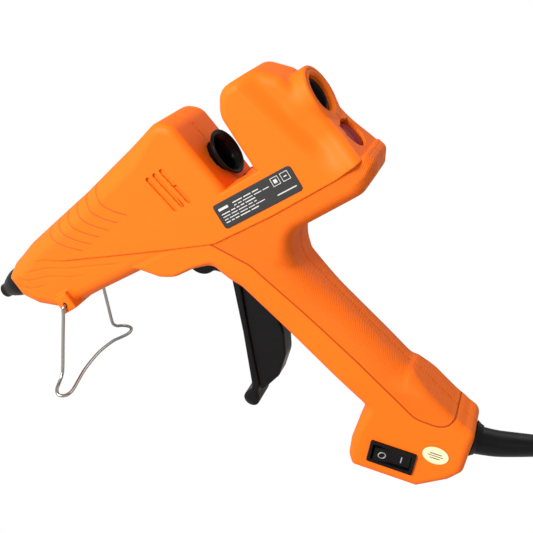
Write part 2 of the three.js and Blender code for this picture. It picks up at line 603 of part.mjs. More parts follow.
// Hand-chosen routes: from the strain relief down into the coil, and from the coil to the plug.
const leadRoute = [
  [87.3, 22.3, 29.5], [92.8, 27.7, 27.3], [96.4, 34.5, 23.4], [98.8, 43, 17.2], [100.2, 52, 10.5],
  [104, 61.8, 5.2], [111, 71.5, 3.5], [119.6, 80.8, 3.4],
];
const tailRoute = [
  [200.1, 51.5, 10.1], [200, 41, 10], [199.5, 30.5, 9], [199, 21, 7.3], [198.7, 11.5, 7.1],
];
const cordTube = (points) => cut(solid(tube(
  new THREE.CatmullRomCurve3(points.map((point) => new THREE.Vector3(...point)), false, 'centripetal'),
  cordRadius, 8, 5 * (points.length - 1))), solid(coilRing(touchGap)));
add('power_cord', cordTube(leadRoute), softBlack, model);
const plugRear = tailRoute.at(-1);
add('power_cord_tail', cordTube(tailRoute), softBlack, model);

// A flat two-pin plug lying on the table, pointing to -Y.
const plug = new THREE.Group();
plug.position.set(plugRear[0], plugRear[1] - touchGap, plugRear[2]);
model.add(plug);
const plugLength = 36;
const plugWide = 17.6;
const pinSpread = 9.3;
add('plug_body', slab([
  [-5, 0, 2], [5, 0, 2], [8, 7, 8], [plugWide, 20, 6], [plugWide, plugLength - 3, 3],
  [plugWide - 3, plugLength, 2],
  [3 - plugWide, plugLength, 2], [-plugWide, plugLength - 3, 3], [-plugWide, 20, 6], [-8, 7, 8],
], 6.8, 2.6).rotateX(Math.PI / 2), softBlack, plug);
for (const [name, side] of [['left', -1], ['right', 1]]) {
  add(`plug_pin_${name}`, new THREE.CylinderGeometry(1.5, 2, 19, 16)
    .rotateX(Math.PI).translate(side * pinSpread, -plugLength - touchGap - 9.5, 0), brass, plug);
}

export default model;
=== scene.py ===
import json
import math

import bpy
import numpy as np
from mathutils import Matrix, Vector


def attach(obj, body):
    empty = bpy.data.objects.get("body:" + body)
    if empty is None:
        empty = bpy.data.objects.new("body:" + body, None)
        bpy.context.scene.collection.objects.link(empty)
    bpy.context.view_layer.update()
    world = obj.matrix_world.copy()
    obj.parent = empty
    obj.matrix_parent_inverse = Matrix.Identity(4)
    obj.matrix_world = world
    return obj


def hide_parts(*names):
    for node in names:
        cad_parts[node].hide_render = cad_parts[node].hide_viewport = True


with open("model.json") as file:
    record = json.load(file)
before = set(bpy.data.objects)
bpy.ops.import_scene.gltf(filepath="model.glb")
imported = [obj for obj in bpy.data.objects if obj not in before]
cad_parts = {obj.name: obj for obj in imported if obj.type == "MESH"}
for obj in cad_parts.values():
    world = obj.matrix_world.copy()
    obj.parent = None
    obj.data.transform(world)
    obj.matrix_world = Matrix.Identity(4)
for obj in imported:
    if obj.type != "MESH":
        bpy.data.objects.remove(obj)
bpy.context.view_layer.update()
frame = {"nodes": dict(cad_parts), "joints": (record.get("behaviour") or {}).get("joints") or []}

scene = bpy.context.scene

# ---------- the gun's own pose, read from the joints ----------
# u runs rearward along the feed axis from the nozzle tip, v is up from it, y is across; millimetres.
joints = {joint["name"]: joint for joint in frame["joints"]}
feed = np.array(joints["pusher_slide"]["axis"])
rear = np.array([-feed[0], -feed[2]]) / math.hypot(feed[0], feed[2])
up = np.array([-rear[1], rear[0]])
triggerPivot = np.array([150.0, -43.0])
pivotRow = np.array(joints["trigger_pull"]["pos_m"])[[0, 2]] * 1000
tip = pivotRow - triggerPivot[0] * rear - triggerPivot[1] * up


def toRow(points):
    # row = tip + u * rear + v * up, in metres; points are (u, y, v)
    u, y, v = points[..., 0], points[..., 1], points[..., 2]
    x = tip[0] + u * rear[0] + v * up[0]
    z = tip[1] + u * rear[1] + v * up[1]
    return np.stack([x, y, z], axis=-1) * 0.001


def smooth(low, high, value):
    # smoothstep: 0 below low, 1 above high
    t = np.clip((value - low) / (high - low), 0, 1)
    return t * t * (3 - 2 * t)


# ---------- camera, floor, lights ----------
view = {"place": (0.0099, -0.3846, 0.3201), "lens": 54.03,
        "right": (0.933, 0.3306, 0.137), "up": (-0.274, 0.4139, 0.8676), "back": (0.2305, -0.848, 0.4766)}
cameraData = bpy.data.cameras.new("camera")
cameraData.lens = view["lens"]
cameraData.sensor_width = 36
cameraData.clip_start = 0.01
camera = bpy.data.objects.new("camera", cameraData)
scene.collection.objects.link(camera)
turn = Matrix((view["right"], view["up"], view["back"])).transposed().to_4x4()
camera.matrix_world = Matrix.Translation(view["place"]) @ turn
scene.camera = camera

studio = {"floor": (0.55, 0.55, 0.55), "floorSize": 8.0, "world": 0.38,
          "lamps": {"key": ((-1.0, -1.3, 1.1), 0.9, 55), "back": ((0.6, 1.2, 1.5), 1.3, 10),
                    "side": ((1.3, -0.7, 0.7), 0.7, 1.5)}}


def makeStudio():
    # floor, sky and lamps; the camera sees both floor and sky as plain white
    half = studio["floorSize"] / 2
    mesh = bpy.data.meshes.new("floor")
    mesh.from_pydata([(-half, -half, 0), (half, -half, 0), (half, half, 0), (-half, half, 0)], [],
                     [(0, 1, 2, 3)])
    floor = bpy.data.objects.new("floor", mesh)
    scene.collection.objects.link(floor)
    paper = bpy.data.materials.new("paper")
    paper.use_nodes = True
    shader = paper.node_tree.nodes["Principled BSDF"]
    shader.inputs["Base Color"].default_value = (*studio["floor"], 1)
    shader.inputs["Roughness"].default_value = 0.8
    # the camera sees plain white paper; the lamps and the object see a grey one
    tree = paper.node_tree
    bright = tree.nodes.new("ShaderNodeEmission")
    bright.inputs["Color"].default_value = (1, 1, 1, 1)
    seen = tree.nodes.new("ShaderNodeLightPath").outputs["Is Camera Ray"]
    mixer = tree.nodes.new("ShaderNodeMixShader")
    tree.links.new(seen, mixer.inputs[0])
    tree.links.new(shader.outputs[0], mixer.inputs[1])
    tree.links.new(bright.outputs[0], mixer.inputs[2])
    tree.links.new(mixer.outputs[0], tree.nodes["Material Output"].inputs["Surface"])
    floor.data.materials.append(paper)
    world = bpy.data.worlds.new("world")
    world.use_nodes = True
    # the camera sees white behind everything; the object is lit by a dimmer sky
    tree = world.node_tree
    tree.nodes["Background"].inputs["Color"].default_value = (1, 1, 1, 1)
    seen = tree.nodes.new("ShaderNodeLightPath").outputs["Is Camera Ray"]
    strength = ramp(tree, seen, 0.0, 1.0, studio["world"], 1.0)
    tree.links.new(strength, tree.nodes["Background"].inputs["Strength"])
    scene.world = world
    for name, (place, size, power) in studio["lamps"].items():
        lamp = bpy.data.lights.new(name, "AREA")
        lamp.shape = "DISK"
        lamp.size = size
        lamp.energy = power
        holder = bpy.data.objects.new(name, lamp)
        scene.collection.objects.link(holder)
        aim = Vector((-0.09, 0, 0.1)) - Vector(place)
        holder.rotation_euler = aim.to_track_quat("-Z", "Y").to_euler()
        holder.location = place
    scene.view_settings.view_transform = "Standard"


# ---------- materials ----------
def mathNode(tree, kind, first, second=None, third=None):
    # one Math node; inputs are sockets or numbers
    node = tree.nodes.new("ShaderNodeMath")
    node.operation = kind
    for slot, value in enumerate((first, second, third)):
        if value is None:
            continue
        if isinstance(value, (int, float)):
            node.inputs[slot].default_value = value
        else:
            tree.links.new(value, node.inputs[slot])
    return node.outputs[0]


def ramp(tree, value, low, high, fromValue=0.0, toValue=1.0):
    # smoothstep from low to high, mapped to fromValue..toValue
    node = tree.nodes.new("ShaderNodeMapRange")
    node.interpolation_type = "SMOOTHSTEP"
    tree.links.new(value, node.inputs["Value"])
    for name, number in (("From Min", low), ("From Max", high), ("To Min", fromValue),
                         ("To Max", toValue)):
        node.inputs[name].default_value = number
    return node.outputs["Result"]


def noise(tree, where, scale, detail=3.0):
    # soft noise 0..1 with so many cells per metre
    node = tree.nodes.new("ShaderNodeTexNoise")
    node.inputs["Scale"].default_value = scale
    node.inputs["Detail"].default_value = detail
    tree.links.new(where, node.inputs["Vector"])
    return node.outputs["Fac"]


def mixColour(tree, factor, first, second):
    # first at factor 0, second at factor 1; colours are sockets or (r, g, b)
    node = tree.nodes.new("ShaderNodeMix")
    node.data_type = "RGBA"
    tree.links.new(factor, node.inputs["Factor"])
    for socket, value in ((node.inputs[6], first), (node.inputs[7], second)):
        if isinstance(value, tuple):
            socket.default_value = (*value, 1)
        else:
            tree.links.new(value, socket)
    return node.outputs[2]


def bump(tree, height, depth, below=None):
    # height 0..1 times depth in metres, laid over an earlier bump
    node = tree.nodes.new("ShaderNodeBump")
    node.inputs["Distance"].default_value = depth
    tree.links.new(height, node.inputs["Height"])
    if below is not None:
        tree.links.new(below, node.inputs["Normal"])
    return node.outputs["Normal"]


makeStudio()
print("camera, floor and lights are set")


def finish(name, look):
    # a moulded, cast or drawn surface: mottled colour and gloss, and a fine grain; scales are per metre
    material = bpy.data.materials.new(name)
    material.use_nodes = True
    tree = material.node_tree
    shader = tree.nodes["Principled BSDF"]
    shader.inputs["Metallic"].default_value = look.get("metal", 0.0)
    shader.inputs["IOR"].default_value = look.get("ior", 1.47)
    shader.inputs["Coat Weight"].default_value = look.get("coat", 0.0)
    shader.inputs["Coat Roughness"].default_value = look.get("coatRough", 0.1)
    place = tree.nodes.new("ShaderNodeTexCoord").outputs["Object"]
    if "stretch" in look:
        mapping = tree.nodes.new("ShaderNodeMapping")
        mapping.inputs["Scale"].default_value = look["stretch"]
        tree.links.new(place, mapping.inputs["Vector"])
        place = mapping.outputs["Vector"]
    patches = noise(tree, place, look.get("patch", 60), 4)
    dark = tuple(channel * look.get("shade", 0.85) for channel in look["colour"])
    tree.links.new(mixColour(tree, patches, dark, look["colour"]), shader.inputs["Base Color"])
    rough = look["rough"]
    tree.links.new(ramp(tree, patches, 0.2, 0.8, rough * 0.85, min(1.0, rough * 1.2)),
                   shader.inputs["Roughness"])
    grain = noise(tree, place, look.get("grain", 1500), 2)
    tree.links.new(bump(tree, grain, look.get("depth", 0.00004)), shader.inputs["Normal"])
    return material


looks = {
    "black": {"colour": (0.0025, 0.0025, 0.0027), "rough": 0.32, "ior": 1.27, "grain": 1800,
              "depth": 0.00003},
    "softBlack": {"colour": (0.003, 0.003, 0.0032), "rough": 0.4, "ior": 1.28, "grain": 1400,
                  "depth": 0.00004},
    "cordBlack": {"colour": (0.004, 0.004, 0.0042), "rough": 0.3, "ior": 1.4, "grain": 900,
                  "depth": 0.00003},
    "charcoal": {"colour": (0.035, 0.034, 0.033), "rough": 0.48, "grain": 2500, "depth": 0.00002},
    "steel": {"colour": (0.56, 0.55, 0.52), "rough": 0.22, "metal": 1.0, "grain": 900,
              "depth": 0.00001, "shade": 0.7},
    "aluminium": {"colour": (0.6, 0.61, 0.62), "rough": 0.42, "metal": 1.0, "grain": 1200,
                  "shade": 0.75},
    "brass": {"colour": (0.62, 0.42, 0.17), "rough": 0.3, "metal": 1.0, "shade": 0.65},
    "nickel": {"colour": (0.62, 0.6, 0.55), "rough": 0.2, "metal": 1.0, "shade": 0.8},
    "ceramic": {"colour": (0.74, 0.71, 0.64), "rough": 0.8, "grain": 900},
    "lampGlass": {"colour": (0.6, 0.06, 0.03), "rough": 0.15},
    "lens": {"colour": (0.32, 0.004, 0.007), "rough": 0.2, "ior": 1.15, "shade": 0.5, "patch": 200,
             "depth": 0.00001},
}
finishes = {name: finish(name, look) for name, look in looks.items()}

# deep is painted shade for the grooves and the dots' pits; slot is painted shade for the vents' walls
shellLook = {"colour": (0.88, 0.148, 0.005), "deep": (0.50, 0.055, 0.002), "slot": (0.10, 0.007, 0.001),
             "rough": 0.5,
             "dotPitch": 0.00105, "dotDepth": 0.0002, "lineDepth": 0.0006, "ribDepth": 0.0004}


def shellMaterial():
    # orange plastic: panel line, ribs, folds on the nose, fine dots, painted shade in these grooves and the
    # dots' pits, and faint painted shade on the vents' walls
    material = bpy.data.materials.new("orange")
    material.use_nodes = True
    tree = material.node_tree
    shader = tree.nodes["Principled BSDF"]
    shader.inputs["IOR"].default_value = 1.25
    place = tree.nodes.new("ShaderNodeTexCoord").outputs["Object"]

    def attribute(name):
        node = tree.nodes.new("ShaderNodeAttribute")
        node.attribute_name = name
        return node.outputs["Fac"]

    panel = attribute("panel")
    line = ramp(tree, mathNode(tree, "ABSOLUTE", panel), 0.1, 0.75, 1.0, 0.0)

    def ridges(count, mask, pitch, width):
        # distance to the nearest whole number of the count, in millimetres, turned into a thin line
        wrapped = mathNode(tree, "PINGPONG", attribute(count), 0.5)
        distance = mathNode(tree, "MULTIPLY", wrapped, pitch)
        thin = ramp(tree, distance, 0.1, width, 1.0, 0.0)
        return mathNode(tree, "MULTIPLY", thin, ramp(tree, attribute(mask), 0.0, 1.0))

    ribs = ridges("ribCount", "ribMask", 9.6, 0.9)
    folds = ridges("foldCount", "foldMask", 5.5, 1.1)
    # dots on a lattice turned with the gun, from the object's own coordinates
    mapping = tree.nodes.new("ShaderNodeMapping")
    mapping.inputs["Rotation"].default_value = (0, math.atan2(rear[1], rear[0]) + 0.6, 0)
    tree.links.new(place, mapping.inputs["Vector"])
    split = tree.nodes.new("ShaderNodeSeparateXYZ")
    tree.links.new(mapping.outputs["Vector"], split.inputs["Vector"])
    wave = 2 * math.pi / shellLook["dotPitch"]
    dots = mathNode(tree, "MULTIPLY",
                    mathNode(tree, "SINE", mathNode(tree, "MULTIPLY", split.outputs["X"], wave)),
                    mathNode(tree, "SINE", mathNode(tree, "MULTIPLY", split.outputs["Z"], wave)))
    dots = mathNode(tree, "MULTIPLY_ADD", dots, 0.5, 0.5)
    inPanel = ramp(tree, panel, 0.6, 1.4)
    dots = mathNode(tree, "MULTIPLY", dots, inPanel)

    patches = noise(tree, place, 45, 4)
    base = mixColour(tree, patches, tuple(c * 0.95 for c in shellLook["colour"]), shellLook["colour"])
    # painted shade: the panel line, ribs, folds and dot pits are darkened toward the deep colour
    marks = mathNode(tree, "MAXIMUM", line, mathNode(tree, "MULTIPLY", ribs, 0.6))
    marks = mathNode(tree, "MAXIMUM", marks, mathNode(tree, "MULTIPLY", folds, 0.15))
    pitShade = mathNode(tree, "MULTIPLY", mathNode(tree, "SUBTRACT", inPanel, dots), 0.22)
    marks = mathNode(tree, "MAXIMUM", marks, pitShade)
    grooveShaded = mixColour(tree, marks, base, shellLook["deep"])
    # painted shade: the upper shell is darkened toward the slot colour inside the vent slots, standing in
    # for the shade in them
    slots = ramp(tree, attribute("ventShade"), -0.15, 0.35)
    tree.links.new(mixColour(tree, slots, grooveShaded, shellLook["slot"]), shader.inputs["Base Color"])
    tree.links.new(ramp(tree, patches, 0.2, 0.8, shellLook["rough"] * 0.9, shellLook["rough"] * 1.15),
                   shader.inputs["Roughness"])
    normal = bump(tree, noise(tree, place, 2600, 2), 0.00003)
    normal = bump(tree, dots, shellLook["dotDepth"], normal)
    normal = bump(tree, mathNode(tree, "MULTIPLY", folds, -1.0), 0.0002, normal)
    normal = bump(tree, mathNode(tree, "MULTIPLY", ribs, -1.0), shellLook["ribDepth"], normal)
    normal = bump(tree, mathNode(tree, "MULTIPLY", line, -1.0), shellLook["lineDepth"], normal)
    tree.links.new(normal, shader.inputs["Normal"])
    return material


finishes["orange"] = shellMaterial()
print("materials are made")


# ---------- ways to make a surface ----------
def place(mesh, name, material, slot, body, replaced=()):
    # links a finished mesh with its finish, attaches it to its body, and hides the CAD nodes it stands for;
    # slot is not used
    piece = bpy.data.objects.new(name, mesh)
    scene.collection.objects.link(piece)
    mesh.materials.append(finishes[material])
    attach(piece, body)
    if replaced:
        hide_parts(*replaced)
    return piece


def meshOf(name, points, faces, normals=None):
    # points (n, 3) and faces (m, 4), both arrays, put into a mesh with smooth shading
    mesh = bpy.data.meshes.new(name)
    mesh.from_pydata(points.tolist(), [], faces.tolist())
    mesh.polygons.foreach_set("use_smooth", np.ones(len(mesh.polygons), bool))
    mesh.update()
    if normals is not None:
        mesh.normals_split_custom_set_from_vertices(normals.tolist())
    return mesh


def gridFaces(rows, columns, closed):
    # quads of a rows x columns grid of points; closed joins the last column to the first
    i = np.arange(rows - 1)[:, None]
    j = np.arange(columns if closed else columns - 1)[None, :]
    after = (j + 1) % columns
    return np.stack([i * columns + j, i * columns + after, (i + 1) * columns + after,
                     (i + 1) * columns + j], axis=-1).reshape(-1, 4)


def sweep(path, radii, sides):
    # a round section carried along a path: each ring stands square to the path, and both ends close
    path = np.asarray(path, float)
    ahead = np.gradient(path, axis=0)
    ahead /= np.linalg.norm(ahead, axis=1)[:, None]
    across = np.cross(ahead, (0.0, 0.0, 1.0))
    flat = np.linalg.norm(across, axis=1) < 1e-3
    across[flat] = np.cross(ahead[flat], (1.0, 0.0, 0.0))
    across /= np.linalg.norm(across, axis=1)[:, None]
    above = np.cross(across, ahead)
    angle = np.linspace(0, 2 * np.pi, sides, endpoint=False)
    ring = (across[:, None] * np.cos(angle)[None, :, None]
            + above[:, None] * np.sin(angle)[None, :, None])
    points = path[:, None] + ring * np.asarray(radii, float)[:, None, None]
    points = np.concatenate([path[:1, None].repeat(sides, 1), points, path[-1:, None].repeat(sides, 1)])
    return points.reshape(-1, 3), gridFaces(len(path) + 2, sides, True)


def spline(points, steps):
    # uniform Catmull-Rom through the points, sampled at equal steps of their chord length
    points = np.asarray(points, float)
    padded = np.concatenate([2 * points[:1] - points[1:2], points, 2 * points[-1:] - points[-2:-1]])
    chord = np.concatenate([[0], np.cumsum(np.linalg.norm(np.diff(points, axis=0), axis=1))])
    where = np.linspace(0, chord[-1], steps)
    index = np.clip(np.searchsorted(chord, where, side="right") - 1, 0, len(points) - 2)
    t = ((where - chord[index]) / (chord[index + 1] - chord[index]))[:, None]
    a, b, c, d = (padded[index + k] for k in range(4))
    return 0.5 * (2 * b + (c - a) * t + (2 * a - 5 * b + 4 * c - d) * t ** 2
                  + (3 * b - a - 3 * c + d) * t ** 3)


def lathe(profile, sides=72):
    # a profile of (u, radius) turned about the feed axis; the profile runs round a closed section
    profile = np.asarray(profile, float)
    angle = np.linspace(0, 2 * np.pi, sides, endpoint=False)
    u = np.broadcast_to(profile[:, :1], (len(profile), sides))
    points = np.stack([u, profile[:, 1:] * np.cos(angle), profile[:, 1:] * np.sin(angle)], axis=-1)
    return points.reshape(-1, 3), gridFaces(len(profile), sides, True)


def rounded(corners, fine=6):
    # an outline with each corner [x, z, radius] turned into a short quadratic arc
    corners = [(list(corner) + [0])[:3] for corner in corners]
    made = []
    for index, (x, z, radius) in enumerate(corners):
        here = np.array([x, z])
        before = np.array(corners[index - 1][:2]) - here
        after = np.array(corners[(index + 1) % len(corners)][:2]) - here
        lengths = np.linalg.norm(before), np.linalg.norm(after)
        cosine = np.clip(before @ after / (lengths[0] * lengths[1]), -1, 1)
        trim = min(radius / math.tan(max(math.acos(cosine) / 2, 1e-3)), 0.45 * lengths[0], 0.45 * lengths[1])
        start, end = here + before / lengths[0] * trim, here + after / lengths[1] * trim
        t = np.linspace(0, 1, fine)[:, None] if trim > 0 else np.zeros((1, 1))
        made.append((1 - t) ** 2 * start + 2 * t * (1 - t) * here + t ** 2 * end)
    return np.concatenate(made)


def inside(outline, x, z):
    # how deep a point lies inside a closed outline, negative outside it
    best = np.full(np.broadcast(x, z).shape, 1e9)
    crossings = np.zeros(best.shape, bool)
    for (ax, az), (bx, bz) in zip(outline, np.roll(outline, -1, axis=0)):
        ex, ez = bx - ax, bz - az
        size = ex * ex + ez * ez
        if size < 1e-12:
            continue
        px, pz = x - ax, z - az
        t = np.clip((px * ex + pz * ez) / size, 0, 1)
        best = np.minimum(best, (px - t * ex) ** 2 + (pz - t * ez) ** 2)
        spans = (az > z) != (bz > z)
        crossings ^= spans & (x < (z - az) / (ez if ez else 1e-12) * ex + ax)
    return np.where(crossings, 1, -1) * np.sqrt(best)


def rounding(depth, y, half, reach, drop):
    # a slab of the given half width whose edge falls away by drop over a reach inward: below 0 inside
    inward = np.maximum(reach - depth, 0) / reach
    outward = np.maximum(np.abs(y) - (half - drop), 0) / drop
    return (np.sqrt(inward ** 2 + outward ** 2) - 1) * np.minimum(reach, drop)


def merge(first, second, width):
    # joins two fields with a fillet about as wide as given
    blend = np.clip(0.5 + 0.5 * (second - first) / width, 0, 1)
    return second + (first - second) * blend - width * blend * (1 - blend)


def mould(field, low, high, cell):
    # the zero surface of a field(u, y, v): one point per cell that it crosses, moved onto the
    # surface along the field's slope, and one quad per grid edge that it crosses
    axes = [np.arange(a, b + cell, cell) for a, b in zip(low, high)]
    u, y, v = axes[0][:, None, None], axes[1][None, :, None], axes[2][None, None, :]
    values = np.broadcast_to(field(u, y, v), tuple(len(a) for a in axes)).astype(np.float32)
    solid = values < 0
    corners = [(a, b, c) for a in (0, 1) for b in (0, 1) for c in (0, 1)]
    shape = tuple(n - 1 for n in solid.shape)
    count = sum(solid[a:a + shape[0], b:b + shape[1], c:c + shape[2]].astype(np.int8)
                for a, b, c in corners)
    mixed = (count > 0) & (count < 8)
    cells = np.argwhere(mixed)
    number = np.full(shape, -1, np.int64)
    number[mixed] = np.arange(len(cells))
    total = np.zeros((len(cells), 3))
    hits = np.zeros((len(cells), 1))
    for start in corners:
        for axis in range(3):
            if start[axis]:
                continue
            end = tuple(1 if k == axis else start[k] for k in range(3))
            first = values[tuple((cells + start).T)]
            second = values[tuple((cells + end).T)]
            crossed = (first < 0) != (second < 0)
            share = np.where(crossed, first / np.where(crossed, first - second, 1), 0)[:, None]
            spot = np.array(start) + share * (np.array(end) - np.array(start))
            total += np.where(crossed[:, None], spot, 0)
            hits += crossed[:, None]
    points = (cells + total / hits) * cell + np.array(low)
    faces = []
    for axis in range(3):
        one, two = [k for k in range(3) if k != axis]
        ahead = np.roll(solid, -1, axis)
        change = solid != ahead
        trim = [slice(1, n - 1) for n in solid.shape]
        trim[axis] = slice(0, solid.shape[axis] - 1)
        mask = np.zeros_like(change)
        mask[tuple(trim)] = change[tuple(trim)]
        edge = np.argwhere(mask)
        ring = []
        for da, db in ((0, 0), (-1, 0), (-1, -1), (0, -1)):
            shift = np.zeros(3, int)
            shift[one], shift[two] = da, db
            ring.append(number[tuple((edge + shift).T)])
        quad = np.stack(ring, axis=-1)
        flip = solid[tuple(edge.T)] ^ (axis == 1)
        quad[~flip] = quad[~flip][:, ::-1]
        faces.append(quad)
    faces = np.concatenate(faces)
    nudge = 0.04

    def slope(spots):
        steps = []
        for axis in range(3):
            off = np.zeros(3)
            off[axis] = nudge
            ahead, behind = (spots + off).T, (spots - off).T
            steps.append((field(*ahead) - field(*behind)) / (2 * nudge))
        return np.stack(steps, axis=-1)

    for _ in range(3):
        gradient = slope(points)
        move = field(*points.T)[:, None] * gradient / np.maximum((gradient ** 2).sum(1), 0.05)[:, None]
        points = points - np.clip(move, -0.4 * cell, 0.4 * cell)
    normals = slope(points)
    normals /= np.maximum(np.linalg.norm(normals, axis=1), 1e-6)[:, None]
    return points, faces, normals


def turnRow(normals):
    # directions from the gun's pose to the row frame
    return np.stack([normals[:, 0] * rear[0] + normals[:, 2] * up[0], normals[:, 1],
                     normals[:, 0] * rear[1] + normals[:, 2] * up[1]], axis=-1)


# ---------- mains cord, tie and plug ----------
cord = {"radius": 3.25, "pitch": 6.75, "length": 1.46, "coilCentre": (154.5, 51.5), "coilMiddle": 39.0,
        "low": 3.4, "rise": 6.65, "turns": (0.111, 5.5), "samples": 1100,
        "lead": [(87.3, 22.3, 29.5), (92.8, 27.7, 27.3), (96.4, 34.5, 23.4), (98.8, 43, 17.2),
                 (100.2, 52, 10.5), (104, 61.8, 5.2), (111, 71.5, 3.5)],
        "tail": [(200, 41, 10), (199.5, 30.5, 9), (199, 21, 7.3), (198.7, 11.5, 7.1)]}


def coilTurns(steps):
    # clockwise turns: outer to inner lane on the table, up a layer, and back out on top;
    # each lane change takes a sixth of a turn
    turn = np.linspace(*cord["turns"], steps)
    inward = smooth(0.83, 1, turn) + smooth(1.83, 2, turn)
    outward = smooth(3.48, 3.64, turn) + smooth(4.48, 4.64, turn)
    lane = 1 - inward + outward
    layer = smooth(2.62, 2.82, turn)
    radius = cord["coilMiddle"] + lane * cord["pitch"]
    angle = np.pi - 2 * np.pi * turn
    x = cord["coilCentre"][0] + radius * np.cos(angle)
    y = cord["coilCentre"][1] + radius * np.sin(angle)
    return np.stack([x, y, cord["low"] + layer * cord["rise"]], axis=-1)


plug = {"rear": (198.7, 11.2, 7.1), "half": 6.8, "wide": 17.6, "long": 36.0, "spread": 9.3, "pin": 19.0}


def plugField(x, y, z):
    # a flat two-pin plug: its outline seen from above, thick and with soft edges
    wide, long = plug["wide"], plug["long"]
    outline = rounded([(-4.6, 1, 2), (-6.5, -7, 8), (-wide, -19, 6), (-wide, 3 - long, 3),
                       (3 - wide, -long, 2), (wide - 3, -long, 2), (wide, 3 - long, 3), (wide, -19, 6),
                       (6.5, -7, 8), (4.6, 1, 2)])
    depth = inside(outline, x, y) + 0 * z
    body = rounding(depth, z, plug["half"], 3.2, 3.2)
    grooves = np.abs((y + 4) % 3.2 - 1.6) - 0.5
    cut = np.maximum(np.maximum(body, -0.7 - body), np.maximum(grooves, -7.5 - y))
    return np.maximum(body, -cut)


def makeCord():
    path = spline(np.concatenate([cord["lead"], coilTurns(98), cord["tail"]]), cord["samples"])
    points, faces = sweep(path, np.full(len(path), cord["radius"]), 20)
    mesh = meshOf("mains_cord", points * 0.001, faces)
    piece = place(mesh, "mains_cord", "cordBlack", "cord_rubber", "gun",
                  ("power_cord", "cord_coil", "power_cord_tail"))
    # the tie goes round the turns on the coil's far side, its two ends twisted together
    reach, high = 1.5 * cord["pitch"] + 0.3, cord["low"] * 2 + 6.9
    x0, y0 = cord["coilCentre"][0], cord["coilCentre"][1] + cord["coilMiddle"]
    loop = [(x0, y0 - 2, high + 0.6), (x0, y0 - reach + 2, high + 0.4), (x0, y0 - reach - 0.3, high - 3),
            (x0, y0 - reach - 0.3, 3), (x0, y0 - reach + 2, 0.6), (x0, y0 + reach - 2, 0.6),
            (x0, y0 + reach + 0.3, 3), (x0, y0 + reach + 0.3, high - 3), (x0, y0 + reach - 2, high + 0.4),
            (x0 + 0.6, y0 + 2, high + 0.6), (x0 + 1.2, y0, high + 0.8)]
    strap = spline(loop, 160)
    t = np.linspace(0, 1, 60)[:, None]
    ends = []
    for phase in (0, np.pi):
        swirl = np.concatenate([0 * t, np.cos(14 * t + phase) * 0.6, np.sin(14 * t + phase) * 0.6], axis=1)
        ends.append(np.array([[x0 + 0.6, y0 - 0.5, high + 0.9]]) + t * np.array([[9.0, -2.0, -0.4]]) + swirl)
    shapes = [sweep(run, np.full(len(run), 0.55), 10) for run in (strap, *ends)]
    offsets = np.cumsum([0] + [len(shape[0]) for shape in shapes[:-1]])
    points = np.concatenate([shape[0] for shape in shapes])
    faces = np.concatenate([shape[1] + offset for shape, offset in zip(shapes, offsets)])
    tie = place(meshOf("cord_tie", points * 0.001, faces), "cord_tie", "softBlack", "cord_rubber", "gun")
    # plug with its two round pins
    rear3 = np.array(plug["rear"])
    points, faces, normals = mould(plugField, (-19, -38, -8), (19, 3, 8), 0.6)
    body = place(meshOf("plug", (points + rear3) * 0.001, faces, normals), "plug", "black", "plug_black",
                 "gun", ("plug_body",))
    for name, side in (("left", -1), ("right", 1)):
        along = np.linspace(0, 1, 40)
        radii = np.where(along < 0.4, 1.95, 2.0) * np.sqrt(np.clip(1 - smooth(0.9, 1.0, along) ** 2, 0, 1))
        line = rear3 + np.stack([0 * along + side * plug["spread"],
                                 -plug["long"] + 0.6 - along * (plug["pin"] + 0.6), 0 * along], axis=-1)
        points, faces = sweep(line, radii, 24)
        place(meshOf(f"plug_{name}", points * 0.001, faces), f"plug_{name}", "nickel",
                          "plug_nickel", "gun", (f"plug_pin_{name}",))
    length = np.linalg.norm(np.diff(path, axis=0), axis=1).sum() * 0.001
    print(f"cord is made, {length:.3f} m")


makeCord()

# ---------- housing shells ----------
shell = {"bodyHalf": 22.5, "noseHalf": 12.5, "proud": 1.1, "seam": 0.15, "cell": 0.62,
         "gripLength": 145.0, "gripLean": 13.7, "portRadius": 10.0, "bossRadius": 15.5,
         "boreRadius": 12.4, "slotHalf": 10.6}
vents = {"number": 3, "first": (161, 0.2), "pitch": 5, "lean": 10.5, "halfLong": 10.7, "halfWide": 1.2,
         "bottom": 11.5}
barrelTop = [(194, -16, 1.5), (188.6, 27, 10), (181, 33.8, 20), (112, 23.4, 60), (50, 16.6, 40),
             (30, 12.2, 8), (20.5, 7, 3)]
nose = [(21, -8.5, 3), (29, -18.6, 8), (43, -27.4, 12), (64, -30, 20), (119, -32.2, 4)]
lean = math.radians(shell["gripLean"])
gripWay = np.array([math.sin(lean), -math.cos(lean)])
gripFront = np.array([164.8, -60.0])
footTop = shell["gripLength"] - 40


def onGrip(along, deep):
    # a point of the gun's middle plane: along the grip and deep behind its front
    return (gripFront[0] + along * gripWay[0] - deep * gripWay[1],
            gripFront[1] + along * gripWay[1] + deep * gripWay[0])


def onBase(x, z):
    # a point of the row frame's x and z, as (u, v)
    away = np.array([x, z]) - tip
    return float(away @ rear), float(away @ up)


